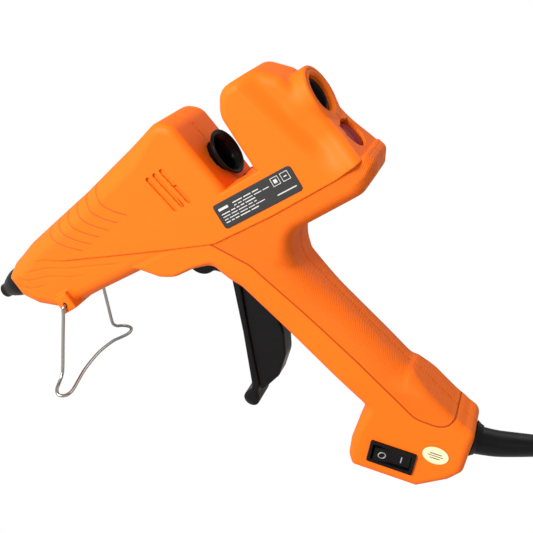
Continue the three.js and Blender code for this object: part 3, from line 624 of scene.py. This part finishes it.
outlines = {
    "barrel": rounded(nose + [(140, -50, 4), (197, -50, 2)] + barrelTop),
    "under": rounded(nose + [(168, -37, 2), (195, -37, 2)] + barrelTop),
    "upper": rounded([(40, 9, 3), (60, 4, 8), (73, -2.5, 10), (88, -7.6, 20), (171, -37.3, 12),
                      (209, -39.2, 10), (250, -39.2, 6), (266, -37.6, 2), (300, -30, 2), (300, 60, 2),
                      (40, 60, 2)]),
    "bridge": rounded([(150, -60, 1), (238, -60, 1), (238, -15.5, 1), (152, -15.5, 1)]),
    "head": rounded([(214.5, -60, 1), (271, -60, 1), (259, -6, 20), (250.5, 17.5, 10), (240, 28.4, 10),
                     (222, 28.8, 10), (214.5, 18, 12)]),
    "tang": rounded([(126, -39, 6), (135, -43.6, 8), (148, -44.6, 8), (159, -48.5, 8), (165.5, -62, 8),
                     (201, -68, 2), (211, -52.8, 14), (256, -52.8, 10), (266, -48.2, 6), (270.4, -41.6, 5),
                     (268, -36.2, 2), (112, -25, 2)]),
    "handle": rounded([(*onGrip(-8, 0.5), 3), (*onGrip(footTop + 8, 0.3), 3), (*onGrip(145, 8), 3),
                       (*onGrip(145, 33.6), 3), (*onGrip(0, 33.6), 3), (*onGrip(-14, 37.6), 3)]),
    "foot": rounded([(*onGrip(footTop, 0.3), 3), (*onGrip(footTop + 4, -10), 6),
                     (*onGrip(footTop + 10, -23), 12), (*onGrip(footTop + 17, -32.5), 8),
                     (*onBase(-20.25, 0), 3), (*onBase(18.75, 0), 1),
                     (*onBase(34.75, 12), 6), (*onBase(40.8, 20), 6), (*onBase(41.3, 47), 7),
                     (*onGrip(137, 33.6), 8), (*onGrip(footTop, 33.6), 3)]),
    "panel": rounded([(168, -36, 4), (182, -57.5, 20), (203.5, -134, 20), (213, -178, 14), (224, -189.5, 12),
                      (237, -187, 12), (247, -172, 10), (300, -150, 1), (300, 0, 1), (168, 0, 1)]),
    "slot": rounded([(138, -58, 2), (138, -36, 2), (190, -36, 2), (*onGrip(54, 26), 2), (*onGrip(68, 14), 2),
                     (*onGrip(74, -8), 2), (*onGrip(10, -12), 2)]),
}
bevels = {"barrelTop": (12, 13), "barrelRear": (5, 5), "barrelUnder": (9, 9), "nose": (6, 10),
          "head": (5.5, 5.5), "gripFront": (6, 7), "gripBack": (14, 15), "foot": (5.5, 5.5), "tang": (7, 8),
          "edge": (3, 3), "bridge": (1, 1)}


def blendBevels(first, second, share):
    # a + (b - a) * share for the reach and the drop of two bevels
    return tuple(a + (b - a) * share for a, b in zip(first, second))


def halfWidth(u):
    # the barrel's half width: narrow at the nose, full from the trigger rearward
    narrow = np.clip((150 - u) / 130, 0, 1.02) ** 1.6
    return shell["bodyHalf"] - (shell["bodyHalf"] - shell["noseHalf"]) * narrow


def barrelField(name, u, y, v):
    # the named outline at the barrel's half width; the edge's bevel changes with height and along u
    reach = blendBevels(bevels["barrelUnder"], bevels["barrelTop"], smooth(-14, 2, v))
    reach = blendBevels(reach, bevels["barrelRear"], smooth(150, 188, u) * smooth(-30, -10, v))
    reach = blendBevels(bevels["nose"], reach, smooth(22, 38, u))
    half = halfWidth(u)
    drop = np.minimum(reach[1], 0.92 * half)
    return rounding(inside(outlines[name], u, v) + 0 * y, y, half, reach[0], drop)


def cylinderField(u, y, v, centre, radius, start, end, edge=1.0):
    # a round bar along the feed axis from start to end
    across = np.sqrt(y ** 2 + (v - centre) ** 2)
    return rounding(radius - across, u - (start + end) / 2, (end - start) / 2, edge, edge)


def boxField(u, y, v, low, high):
    # the largest of |value - middle| - half over the three axes
    gaps = [np.abs(value - (a + b) / 2) - (b - a) / 2 for value, a, b in zip((u, y, v), low, high)]
    return np.maximum(np.maximum(gaps[0], gaps[1]), gaps[2])


def pockets(u, y, v):
    # room for the stick, gripper, port, inlet, pusher and trigger; the rest of the shell is solid
    stick = cylinderField(u, y, v, 0, 8.2, 200, 232)
    gripper = cylinderField(u, y, v, 0, shell["boreRadius"], 219, 249)
    flare = np.clip(u - 259.2, 0, 3) * 0.9
    mouth = np.maximum(np.sqrt(y ** 2 + v ** 2) - shell["portRadius"] - flare, 240 - u)
    inlet = np.maximum(np.sqrt(y ** 2 + v ** 2) - 9.3, np.maximum(178 - u, u - 204))
    bars = boxField(u, y, v, (126, -7.8, -29), (262, 7.8, -18.4))
    block = boxField(u, y, v, (215.5, -7.8, -20), (252, 7.8, -8))
    ledge = boxField(u, y, v, (196.5, -3.5, -22), (213.8, 3.5, -12))
    arm = boxField(u, y, v, (139.5, -10, -46), (166, 10, -18.4))
    hub = np.maximum(np.sqrt((u - 150) ** 2 + (v + 43) ** 2) - 10.2, np.abs(y) - shell["slotHalf"])
    slot = np.maximum(-inside(outlines["slot"], u, v) + 0 * y, np.abs(y) - shell["slotHalf"])
    room = stick
    for other in (gripper, mouth, inlet, bars, block, ledge, arm, hub, slot):
        room = np.minimum(room, other)
    return room


def ventRow(u, v):
    # distance to the leaning slots in the side view, negative inside: hypot(across, |along| - half) - r
    tilt = math.radians(vents["lean"])
    room = None
    for index in range(vents["number"]):
        du, dv = u - (vents["first"][0] + vents["pitch"] * index), v - vents["first"][1]
        across = du * math.cos(tilt) + dv * math.sin(tilt)
        along = -du * math.sin(tilt) + dv * math.cos(tilt)
        one = np.hypot(across, np.maximum(np.abs(along) - vents["halfLong"], 0)) - vents["halfWide"]
        room = one if room is None else np.minimum(room, one)
    return room


def ventSlots(u, y, v):
    # slots as deep as |y| = bottom, cut into the upper shell only; the lower shell runs on behind it and
    # fills them to about 1.1 mm under the skin
    return np.maximum(ventRow(u, v) + 0 * y, vents["bottom"] - np.abs(y))


def screwWells(u, y, v):
    # wells for the screw heads, on the +y side only
    spots = [(38, -21), (114, -25), (174, 22.5), (225.5, 19.5), (240.5, -45), onGrip(footTop - 15, 24.6),
             onGrip(footTop + 10, -9)]
    room = None
    for x, z in spots:
        one = np.hypot(u - x, v - z) - 3.7
        room = one if room is None else np.minimum(room, one)
    return np.maximum(room + 0 * y, 9.5 - y)


def lensWell(u, y, v):
    # a round seat square to the leaning rear face
    lean2 = math.radians(14.5)
    du, dv = u - 261.6, v + 25.5
    out = du * math.cos(lean2) + dv * math.sin(lean2)
    side = -du * math.sin(lean2) + dv * math.cos(lean2)
    return np.maximum(np.hypot(side, y) - 8.7, np.abs(out + 2) - 6)


def upperField(u, y, v):
    # barrel, bridge and head down to the step line
    barrel = barrelField("barrel", u, y, v)
    bridge = rounding(inside(outlines["bridge"], u, v) + 0 * y, y, shell["bodyHalf"], *bevels["bridge"])
    back = u + 0.2587 * (v + 9)
    half = shell["bodyHalf"] - 7 * smooth(239, 250.5, back) * smooth(-41, -16, v)
    head = rounding(inside(outlines["head"], u, v) + 0 * y, y, half, *bevels["head"])
    boss = cylinderField(u, y, v, 0, shell["bossRadius"], 236, 260.6, 1.6)
    ring = 0.5 - np.hypot(np.sqrt(y ** 2 + v ** 2) - 12.9, u - 260.7)
    body = np.minimum(barrel, merge(head, np.maximum(boss, ring), 2.0))
    body = np.minimum(body, bridge)
    limit = -inside(outlines["upper"], u, v) + 0 * y
    body = -merge(-body, -limit, 0.9)
    for room in (pockets(u, y, v), ventSlots(u, y, v), lensWell(u, y, v)):
        body = np.maximum(body, -room)
    return body


def lowerField(u, y, v):
    # nose, underside, tang, grip and foot joined with fillets, then rounded by place; it also runs on
    # through the barrel, drawn in by proud behind the upper shell
    along = (u - gripFront[0]) * gripWay[0] + (v - gripFront[1]) * gripWay[1]
    deep = -(u - gripFront[0]) * gripWay[1] + (v - gripFront[1]) * gripWay[0]
    depth = -merge(-inside(outlines["tang"], u, v), -inside(outlines["handle"], u, v), 7)
    depth = -merge(-depth, -inside(outlines["foot"], u, v), 5)
    reach = blendBevels(bevels["gripFront"], bevels["gripBack"], smooth(9, 24, deep))
    reach = blendBevels(reach, bevels["foot"], smooth(98, 122, along))
    reach = blendBevels(reach, bevels["tang"], smooth(-100, -52, v))
    reach = blendBevels(reach, bevels["edge"], smooth(-47, -41, v))
    half = 17.5 + 1.9 * smooth(-178, -130, v) + 2.1 * smooth(-105, -50, v)
    closing = (1 - np.clip((u - 244) / 31, 0, 0.999) ** 2.6) ** (1 / 2.6)
    half = half * (1 + (closing - 1) * smooth(-75, -60, v))
    half = np.minimum(half, halfWidth(u) - 1)
    grip = rounding(depth + 0 * y, y, half, *reach)
    under = barrelField("under", u, y, v) + shell["proud"] * smooth(42, 84, u)
    body = merge(under, grip, 1.5)
    clip = rounding(5.4 - np.maximum(np.abs(u - 56), np.abs(v + 24.5) - 0.4) + 0 * y, y, 20.8, 1.6, 1.2)
    body = merge(body, clip, 1.6)
    wire = np.maximum(np.hypot(u - 56, v + 25.5) - 1.5, 15 - np.abs(y))
    bore = np.maximum(np.sqrt(y ** 2 + v ** 2) - 9.9, u - 30)
    for room in (pockets(u, y, v), wire, bore):
        body = np.maximum(body, -room)
    return body


def markSurface(mesh, spots, upper):
    # distances and counts that the shader turns into the panel line, ribs, folds and painted shade in the
    # vents; mm
    u, y, v = spots.T
    count = (u + 17 * np.sin(np.clip((v + 4) / 20, 0, 1) * np.pi / 2) - 92) / 9.6
    end = -4 + (u - 92) * 0.1
    sides = np.minimum((5.3 - count) * 9.6, np.abs(y) - 5)
    ribs = np.minimum(np.minimum(v - end, (count + 0.3) * 9.6), sides)
    below = -inside(outlines["upper"], u, v)
    folds = np.minimum(np.minimum(below - 2.5, 19 - below), np.minimum(138 - 31 * below / 5.5 - u, u - 26))
    away = np.full(len(u), -20.0)
    values = {"panel": away if upper else np.clip(inside(outlines["panel"], u, v), -20, 20),
              "ribCount": count, "ribMask": ribs if upper else away,
              # painted shade in the vents, on the upper shell only
              "ventShade": np.clip(-ventRow(u, v), -20, 20) if upper else away,
              "foldCount": below / 5.5,
              "foldMask": away if upper else np.minimum(folds, 8 - np.abs(v + 12) * 0.5)}
    for name, value in values.items():
        mesh.attributes.new(name, "FLOAT", "POINT").data.foreach_set("value", value.astype(np.float32))


def makeShells():
    # each half is moulded on the -y side; the right half is the mirror of its own field
    switch = [*onBase(1, 16.8)]
    parts = [("upper", upperField, (38, -23.5, -41), (272, 0.6, 36)),
             ("lower", lowerField, (17, -23.5, -227), (274, 0.6, 22))]
    for name, field, low, high in parts:
        for side, sign in (("left", 1), ("right", -1)):
            def half(u, y, v, field=field, sign=sign, name=name):
                body = np.maximum(field(u, y * sign, v), y + shell["seam"])
                if name == "lower" and sign == 1:
                    across = (u - switch[0]) * rear[0] + (v - switch[1]) * up[0]
                    above = (u - switch[0]) * rear[1] + (v - switch[1]) * up[1]
                    well = np.maximum(np.maximum(np.abs(across) - 12.3, np.abs(above) - 6.3), y + 6)
                    body = np.maximum(body, -well)
                if sign == -1:
                    body = np.maximum(body, -screwWells(u, -y, v))
                return body
            points, faces, normals = mould(half, low, high, shell["cell"])
            if sign == -1:
                points = points * np.array([1, -1, 1])
                normals = normals * np.array([1, -1, 1])
                faces = faces[:, ::-1]
            mesh = meshOf(f"shell_{name}_{side}", toRow(points), faces, turnRow(normals))
            markSurface(mesh, points, name == "upper")
            stands = (f"housing_{side}",) if name == "upper" else ()
            place(mesh, f"shell_{name}_{side}", "orange", "housing_orange", "gun", stands)
            print(f"shell {name} {side}: {len(faces)} faces")


makeShells()


# ---------- strain relief ----------
relief = {"route": [(41.6, 0, 34.5), (44, 0, 34.5), (47, 0, 34.5), (55, 1.6, 34.8), (66, 6, 35),
                    (77, 13, 33.4), (87, 22, 29.6)], "wide": 8.2, "thin": 5.4, "flange": 2.4, "drawnIn": 0.9}


def makeRelief():
    # radius = wide to thin along the route, with a flange at the start and its end drawn in
    path = spline(relief["route"], 140)
    t = np.linspace(0, 1, len(path))
    radii = relief["wide"] + (relief["thin"] - relief["wide"]) * t
    radii = radii + relief["flange"] * np.maximum(0, 1 - t / 0.1) ** 1.5
    radii = radii - relief["drawnIn"] * np.clip((t - 0.975) / 0.025, 0, 1) ** 2
    points, faces = sweep(path, radii, 48)
    place(meshOf("strain_relief", points * 0.001, faces), "strain_relief", "softBlack", "cord_rubber", "gun",
          ("strain_relief",))


makeRelief()

# ---------- turned pieces on the feed axis ----------
turned = {
    "nozzle": ([(0.6, 1.2), (0.6, 2.6), (1.0, 3.0), (5, 3.6), (10, 5.2), (18, 6.4), (27, 6.4), (27, 3),
                (12, 2.6), (4, 1.2)], "brass", "nozzle_brass", ("nozzle",)),
    "nozzle_boot": ([(2, 3.7), (1.8, 4.2), (2.1, 4.7), (5.6, 4.8), (6.2, 5.2), (9, 6.6), (13, 8.1), (16, 9),
                     (19, 9.4), (24.6, 9.4), (25, 9.0), (25, 6.8), (18, 6.8), (9.6, 5.5), (4.8, 3.9)],
                    "softBlack", "boot_rubber", ("nozzle_boot",)),
    "inlet_sleeve": ([(148.3, 6.2), (148.3, 9), (193.4, 9), (194.6, 10.2), (195.6, 12.2), (196.6, 13.0),
                      (197.5, 13.2), (198, 12.8), (198, 12.2), (197.2, 11), (194.5, 9.2), (191, 8),
                      (182, 6.2)], "black", "black_plastic", ("inlet_sleeve",)),
    "port_liner": ([(248, 6.8), (248, 9.7), (257.1, 9.7), (257.5, 9.3), (257.5, 8.8), (257, 8.2),
                    (253, 6.8)], "black", "black_plastic", ("port_liner",)),
}


def closedRing(profile, fine):
    # the section's corners joined by short straight runs, so that the turned faces stay crisp
    corners = np.asarray(profile + profile[:1], float)
    t = np.linspace(0, 1, fine, endpoint=False)[:, None]
    runs = [a + (b - a) * t for a, b in zip(corners[:-1], corners[1:])]
    return np.concatenate(runs + [corners[:1]])


def makeTurned():
    # every closed section turned about the feed axis
    for name, (profile, material, slot, stands) in turned.items():
        points, faces = lathe(closedRing(profile, 6), 96)
        place(meshOf(name, toRow(points), faces), name, material, slot, "gun", stands)
    print("turned pieces are made")


makeTurned()

# ---------- indicator lens ----------
lens = {"middle": (261.6, -25.5), "lean": 14.5, "radius": 8.3, "rise": 1.2, "skirt": 3.5}


def makeLens():
    # rise * (1 - r^2) dome over a short skirt, turned about the leaning face's normal
    lean2 = math.radians(lens["lean"])
    r = np.concatenate([np.linspace(0, 1, 18), [1.0, 1.0]])
    out = np.concatenate([lens["rise"] * (1 - np.linspace(0, 1, 18) ** 2.4) - 0.2, [-1.0, -lens["skirt"]]])
    r, out = np.concatenate([r, [0.0]]), np.concatenate([out, [-lens["skirt"]]])
    angle = np.linspace(0, 2 * np.pi, 72, endpoint=False)
    side = lens["radius"] * r[:, None] * np.cos(angle)
    y = lens["radius"] * r[:, None] * np.sin(angle)
    out = out[:, None] + 0 * angle
    u = lens["middle"][0] + out * math.cos(lean2) - side * math.sin(lean2)
    v = lens["middle"][1] + out * math.sin(lean2) + side * math.cos(lean2)
    points = np.stack([u, y, v], axis=-1).reshape(-1, 3)
    place(meshOf("indicator_lens", toRow(points), gridFaces(len(r), 72, True)), "indicator_lens", "lens",
          "lens_red", "gun", ("indicator_lens",))


makeLens()

# ---------- trigger ----------
triggerShape = {"hub": 9.5, "hubHalf": 9.6, "webHalf": 7.0, "plateHalf": 9.6, "roll": (123, -133),
                "rollRadius": 4.7, "link": (154.84, -23.59), "linkBore": 2.15, "pinBore": 3.1, "cell": 0.55}
blade = rounded([(146, -44, 1), (150.5, -52.5, 3), (161, -63, 3), (131.5, -127.5, 3), (131, -132, 2),
                 (147, -127.5, 6), (158.5, -118, 14), (167.5, -103, 24), (171, -72, 24), (156, -42, 4)])
plate = rounded([(164.6, -61.5, 1), (159.8, -60.5, 1), (145, -93, 60), (128.4, -126, 8), (120.6, -130.6, 1),
                 (123, -136.5, 1), (132.4, -128.6, 8), (149, -93, 60)])
armShape = rounded([(143, -44, 3), (150.4, -20, 4), (159.6, -20, 4), (158.5, -40, 3)])


def triggerField(u, y, v):
    # hub, web, wider front plate, rolled tip and the arm to the pusher
    shape = triggerShape
    hub = rounding(shape["hub"] - np.hypot(u - 150, v + 43) + 0 * y, y, shape["hubHalf"], 0.8, 0.8)
    web = rounding(inside(blade, u, v) + 0 * y, y, shape["webHalf"], 1.6, 1.6)
    front = rounding(inside(plate, u, v) + 0 * y, y, shape["plateHalf"], 1.2, 1.4)
    roll = rounding(shape["rollRadius"] - np.hypot(u - shape["roll"][0], v - shape["roll"][1]) + 0 * y, y,
                    shape["plateHalf"], 1.2, 1.2)
    arm = rounding(inside(armShape, u, v) + 0 * y, y, 3.2, 0.6, 0.6)
    body = merge(merge(web, front, 1.2), roll, 4.0)
    body = merge(merge(body, hub, 2.0), arm, 1.0)
    for x, z, radius in ((150, -43, shape["pinBore"]), (*shape["link"], shape["linkBore"])):
        body = np.maximum(body, radius - np.hypot(u - x, v - z) + 0 * y)
    return body


points, faces, normals = mould(triggerField, (116, -11, -140), (174, 11, -16), triggerShape["cell"])
place(meshOf("trigger", toRow(points), faces, turnRow(normals)), "trigger", "black", "trigger_black",
      "trigger", ("trigger",))
print("trigger is made")

# ---------- switch ----------
switch = {"middle": (1.0, 16.8), "bezelHalf": (13.5, 7.5), "face": -19.1, "pocketHalf": (11.1, 5.15),
          "pivot": -15.1, "lean": 7.0, "rockerHalf": (10.6, 4.75), "cell": 0.3}


def bezelField(x, y, z):
    # a rounded frame with sloping inner edges round a square pocket; y is outward negative from the face
    wide, high = switch["bezelHalf"]
    outline = rounded([(-wide, -high, 1.2), (wide, -high, 1.2), (wide, high, 1.2), (-wide, high, 1.2)])
    frameBody = rounding(inside(outline, x, z) + 0 * y, y - 0.9, 0.9, 0.5, 0.5)
    wide, high = switch["pocketHalf"]
    tube = np.maximum(np.maximum(np.abs(x) - wide - 0.8, np.abs(z) - high - 0.8), np.abs(y - 5) - 4.6)
    body = np.minimum(frameBody, tube)
    slope = np.clip(0.9 - y, 0, 0.9) * 0.5
    hole = np.maximum(np.maximum(np.abs(x) - wide - slope, np.abs(z) - high - slope), y - 8.2)
    return np.maximum(body, -hole)


def rockerField(x, y, z):
    # a shallow vee leaned about its pivot, with a raised ring at the -x end and a bar at the +x end
    lean3 = math.radians(switch["lean"])
    depth = y + switch["face"] - switch["pivot"]
    along = x * math.cos(lean3) + depth * math.sin(lean3)
    out = -x * math.sin(lean3) + depth * math.cos(lean3)
    wide, high = switch["rockerHalf"]
    top = -2.6 - 0.11 * np.abs(along)
    ring = 0.35 - np.abs(np.hypot(along + 5.6, z) - 2.0)
    bar = np.minimum(0.35 - np.abs(along - 5.6), 2.1 - np.abs(z))
    raised = 0.28 * np.clip(np.maximum(ring, bar) / 0.25 + 0.5, 0, 1)
    sides = np.hypot(np.maximum(np.abs(along) - wide + 0.5, 0), np.maximum(np.abs(z) - high + 0.5, 0)) - 0.5
    return np.maximum(np.maximum(sides, top - raised - out), out - 1.8)


def switchMaterial():
    # black plastic with the ring and the bar filled in grey
    material = finish("switchBlack", looks["black"])
    tree = material.node_tree
    shader = tree.nodes["Principled BSDF"]
    mark = tree.nodes.new("ShaderNodeAttribute")
    mark.attribute_name = "mark"
    plain = shader.inputs["Base Color"].links[0].from_socket
    filled = mixColour(tree, ramp(tree, mark.outputs["Fac"], 0.2, 0.8), plain, (0.30, 0.30, 0.30))
    tree.links.new(filled, shader.inputs["Base Color"])
    return material


finishes["switchBlack"] = switchMaterial()


def makeSwitch():
    # bezel and rocker, with the grey marks' strength on the rocker's face as an attribute
    middle = np.array([switch["middle"][0], switch["face"], switch["middle"][1]])
    for name, field, reach, material, slot, body, stands in (
            ("switch_bezel", bezelField, (14, (-0.6, 9.8), 8), "switchBlack", "switch_black", "gun",
             ("switch_bezel",)),
            ("switch_rocker", rockerField, (12, (-1.5, 8.0), 6), "switchBlack", "switch_black", "rocker",
             ("switch_rocker",))):
        wide, (near, far), high = reach
        points, faces, normals = mould(field, (-wide, near, -high), (wide, far, high), switch["cell"])
        mesh = meshOf(name, (points + middle) * 0.001, faces, normals)
        x, y, z = points.T
        ring = np.abs(np.hypot(x + 5.4, z) - 2.0)
        bar = np.maximum(np.abs(x - 5.7), np.abs(z) - 1.9)
        mark = np.clip(0.55 - np.minimum(ring, bar), 0, 0.5) * 2 * (y < 4) * (name == "switch_rocker")
        mesh.attributes.new("mark", "FLOAT", "POINT").data.foreach_set("value", mark.astype(np.float32))
        place(mesh, name, material, slot, body, stands)


makeSwitch()

# ---------- rating label and small sticker ----------
label = {"middle": (208.5, -27.0), "half": (25.5, 7.25), "turn": -1.7, "face": -22.66, "thick": 0.16,
         "corner": 2.2}
sticker = {"middle": (24.0, 28.0), "half": (7.35, 5.74), "face": -17.95, "thick": 0.14}


def flatPiece(outline, face, thick):
    # a thin plate standing on y = face, facing -y, with a rounded rim; outline is (n, 2), counterclockwise
    centre = outline.mean(axis=0)
    rows = []
    for share, lift in ((0, 0), (0.5, 0), (0.9, 0), (0.985, 0), (1, 0.35), (1, 1), (0.5, 1), (0, 1)):
        ring = centre + (outline - centre) * share
        out = np.full(len(ring), face - thick + lift * thick)
        rows.append(np.column_stack([ring[:, 0], out, ring[:, 1]]))
    return np.concatenate(rows), gridFaces(len(rows), len(outline), True)


def onPlate(mesh, flat):
    # each point's place on the flat plate, for the marks
    where = mesh.attributes.new("plate", "FLOAT_VECTOR", "POINT")
    where.data.foreach_set("vector", flat.astype(np.float32).ravel())


def markMaterial(name, base, ink, rough, marks):
    # ink where any mark is: each mark is ("box" or "frame", x, z, half x, half z) on the label attribute, mm
    material = finish(name, {"colour": base, "rough": rough, "grain": 2500, "depth": 0.00001, "shade": 0.93})
    tree = material.node_tree
    shader = tree.nodes["Principled BSDF"]
    where = tree.nodes.new("ShaderNodeAttribute")
    where.attribute_name = "plate"
    axes = tree.nodes.new("ShaderNodeSeparateXYZ")
    tree.links.new(where.outputs["Vector"], axes.inputs[0])
    covered = None
    for kind, x, z, halfX, halfZ in marks:
        acrossX = mathNode(tree, "ABSOLUTE", mathNode(tree, "SUBTRACT", axes.outputs["X"], x))
        acrossZ = mathNode(tree, "ABSOLUTE", mathNode(tree, "SUBTRACT", axes.outputs["Z"], z))
        gap = mathNode(tree, "MAXIMUM", mathNode(tree, "SUBTRACT", acrossX, halfX),
                       mathNode(tree, "SUBTRACT", acrossZ, halfZ))
        if kind == "frame":
            gap = mathNode(tree, "SUBTRACT", mathNode(tree, "ABSOLUTE", gap), 0.16)
        one = ramp(tree, gap, -0.05, 0.05, 1.0, 0.0)
        covered = one if covered is None else mathNode(tree, "MAXIMUM", covered, one)
    plain = shader.inputs["Base Color"].links[0].from_socket
    tree.links.new(mixColour(tree, covered, plain, ink), shader.inputs["Base Color"])
    return material


def makeLabel():
    # marks are plain dashes in rows, two framed squares and a bar, with no lettering
    marks = [("box", -20.0, 3.6, 3.2, 0.7), ("frame", 14.2, 3.2, 2.2, 2.2), ("box", 14.2, 3.2, 1.0, 1.0),
             ("frame", 20.4, 3.2, 2.2, 2.2), ("box", 20.4, 3.2, 0.9, 0.3), ("box", 17.2, -3.8, 6.0, 0.3)]
    rows = [(3.9, 0.28), (2.3, 0.22), (0.7, 0.28), (-0.9, 0.22), (-2.5, 0.22), (-4.1, 0.28)]
    widths = (3.2, 1.4, 2.4, 0.9, 2.0, 1.2, 2.8)
    for index, (z, half) in enumerate(rows):
        x = -13.5 if z > 2 else -23.0
        for step in range(5):
            wide = widths[(index * 3 + step * 2) % 7]
            if x + 2 * wide > 9.5:
                break
            marks.append(("box", x + wide, z, wide, half))
            x += 2 * wide + 0.9
    finishes["labelPlate"] = markMaterial("labelPlate", (0.020, 0.0195, 0.0185), (0.55, 0.55, 0.53), 0.42,
                                          marks)
    wide, high = label["half"]
    c = label["corner"]
    outline = rounded([(-wide, -high, c), (wide, -high, c), (wide, high, c), (-wide, high, c)])
    flat, faces = flatPiece(outline, 0.0, label["thick"])
    turn2 = math.radians(label["turn"])
    u = label["middle"][0] + flat[:, 0] * math.cos(turn2) - flat[:, 2] * math.sin(turn2)
    v = label["middle"][1] + flat[:, 0] * math.sin(turn2) + flat[:, 2] * math.cos(turn2)
    points = toRow(np.column_stack([u, label["face"] + flat[:, 1], v]))
    mesh = meshOf("rating_label", points, faces)
    onPlate(mesh, flat)
    place(mesh, "rating_label", "labelPlate", "label_charcoal", "gun", ("rating_label",))
    # the sticker: an oval plate with three short bars
    finishes["stickerPaper"] = markMaterial("stickerPaper", (0.80, 0.74, 0.44), (0.10, 0.10, 0.08), 0.5,
                                            [("box", 0, 1.2, 3.4, 0.35), ("box", 0, -0.3, 4.4, 0.3),
                                             ("box", 0, -1.9, 2.8, 0.35)])
    angle = np.linspace(0, 2 * np.pi, 72, endpoint=False)
    outline = np.column_stack([sticker["half"][0] * np.cos(angle), sticker["half"][1] * np.sin(angle)])
    flat, faces = flatPiece(outline, 0.0, sticker["thick"])
    points = flat + np.array([sticker["middle"][0], sticker["face"], sticker["middle"][1]])
    mesh = meshOf("inspection_sticker", points * 0.001, faces)
    onPlate(mesh, flat)
    place(mesh, "inspection_sticker", "stickerPaper", "sticker_yellow", "gun", ("inspection_sticker",))


makeLabel()

# ---------- stand wire ----------
stand = {"radius": 1.05, "pivot": (-211.01, 49.69)}


def makeStand():
    # half of the wire from its clip to the crossbar's middle, (behind, side, height), then mirrored
    high = stand["pivot"][1]
    half = [(0, 13.8, high), (0, 19.8, high), (0, 22.2, high - 0.5), (0.1, 23.2, high - 2.4),
            (0.6, 23.6, high - 6), (3.0, 27.3, 27), (5.4, 31, 10.5), (6.2, 33.6, 6.4), (6.7, 37, 3.8),
            (7.8, 41.2, 2.1), (10.6, 44, 1.08), (14, 43.4, 1.08), (15.6, 40, 1.08), (15.6, 35, 1.25),
            (14.6, 27.5, 2.7), (13.6, 17, 5)]
    route = half + [(13, 0, 6.3)] + [(x, -y, z) for x, y, z in half[::-1]]
    path = spline(np.array(route) + np.array([stand["pivot"][0], 0, 0]), 520)
    points, faces = sweep(path, np.full(len(path), stand["radius"]), 16)
    place(meshOf("stand_wire", points * 0.001, faces), "stand_wire", "wire", "stand_steel", "stand",
          ("stand_wire",))


finishes["wire"] = finish("wire", {"colour": (0.45, 0.43, 0.40), "rough": 0.3, "metal": 1.0, "grain": 900,
                                   "depth": 0.00001, "shade": 0.8})
makeStand()

# ---------- finishes for the solids kept from the drawing ----------
kept = {"housing_screw": "steel", "melt_chamber": "aluminium", "heater_clamp": "aluminium",
        "heater": "ceramic", "chamber_cradle": "charcoal", "indicator_lamp": "lampGlass",
        "trigger_pin": "steel", "link_pin": "steel", "trigger_spring": "steel", "pusher": "charcoal",
        "stick_gripper": "black", "cord_clamp": "charcoal"}


def dressKept():
    # each kept solid gets the finish of the longest name that it starts with
    for name, node in frame["nodes"].items():
        for start in sorted(kept, key=len, reverse=True):
            if name.startswith(start):
                node.data.materials.clear()
                node.data.materials.append(finishes[kept[start]])
                break
    print("kept solids have their finishes")


dressKept()
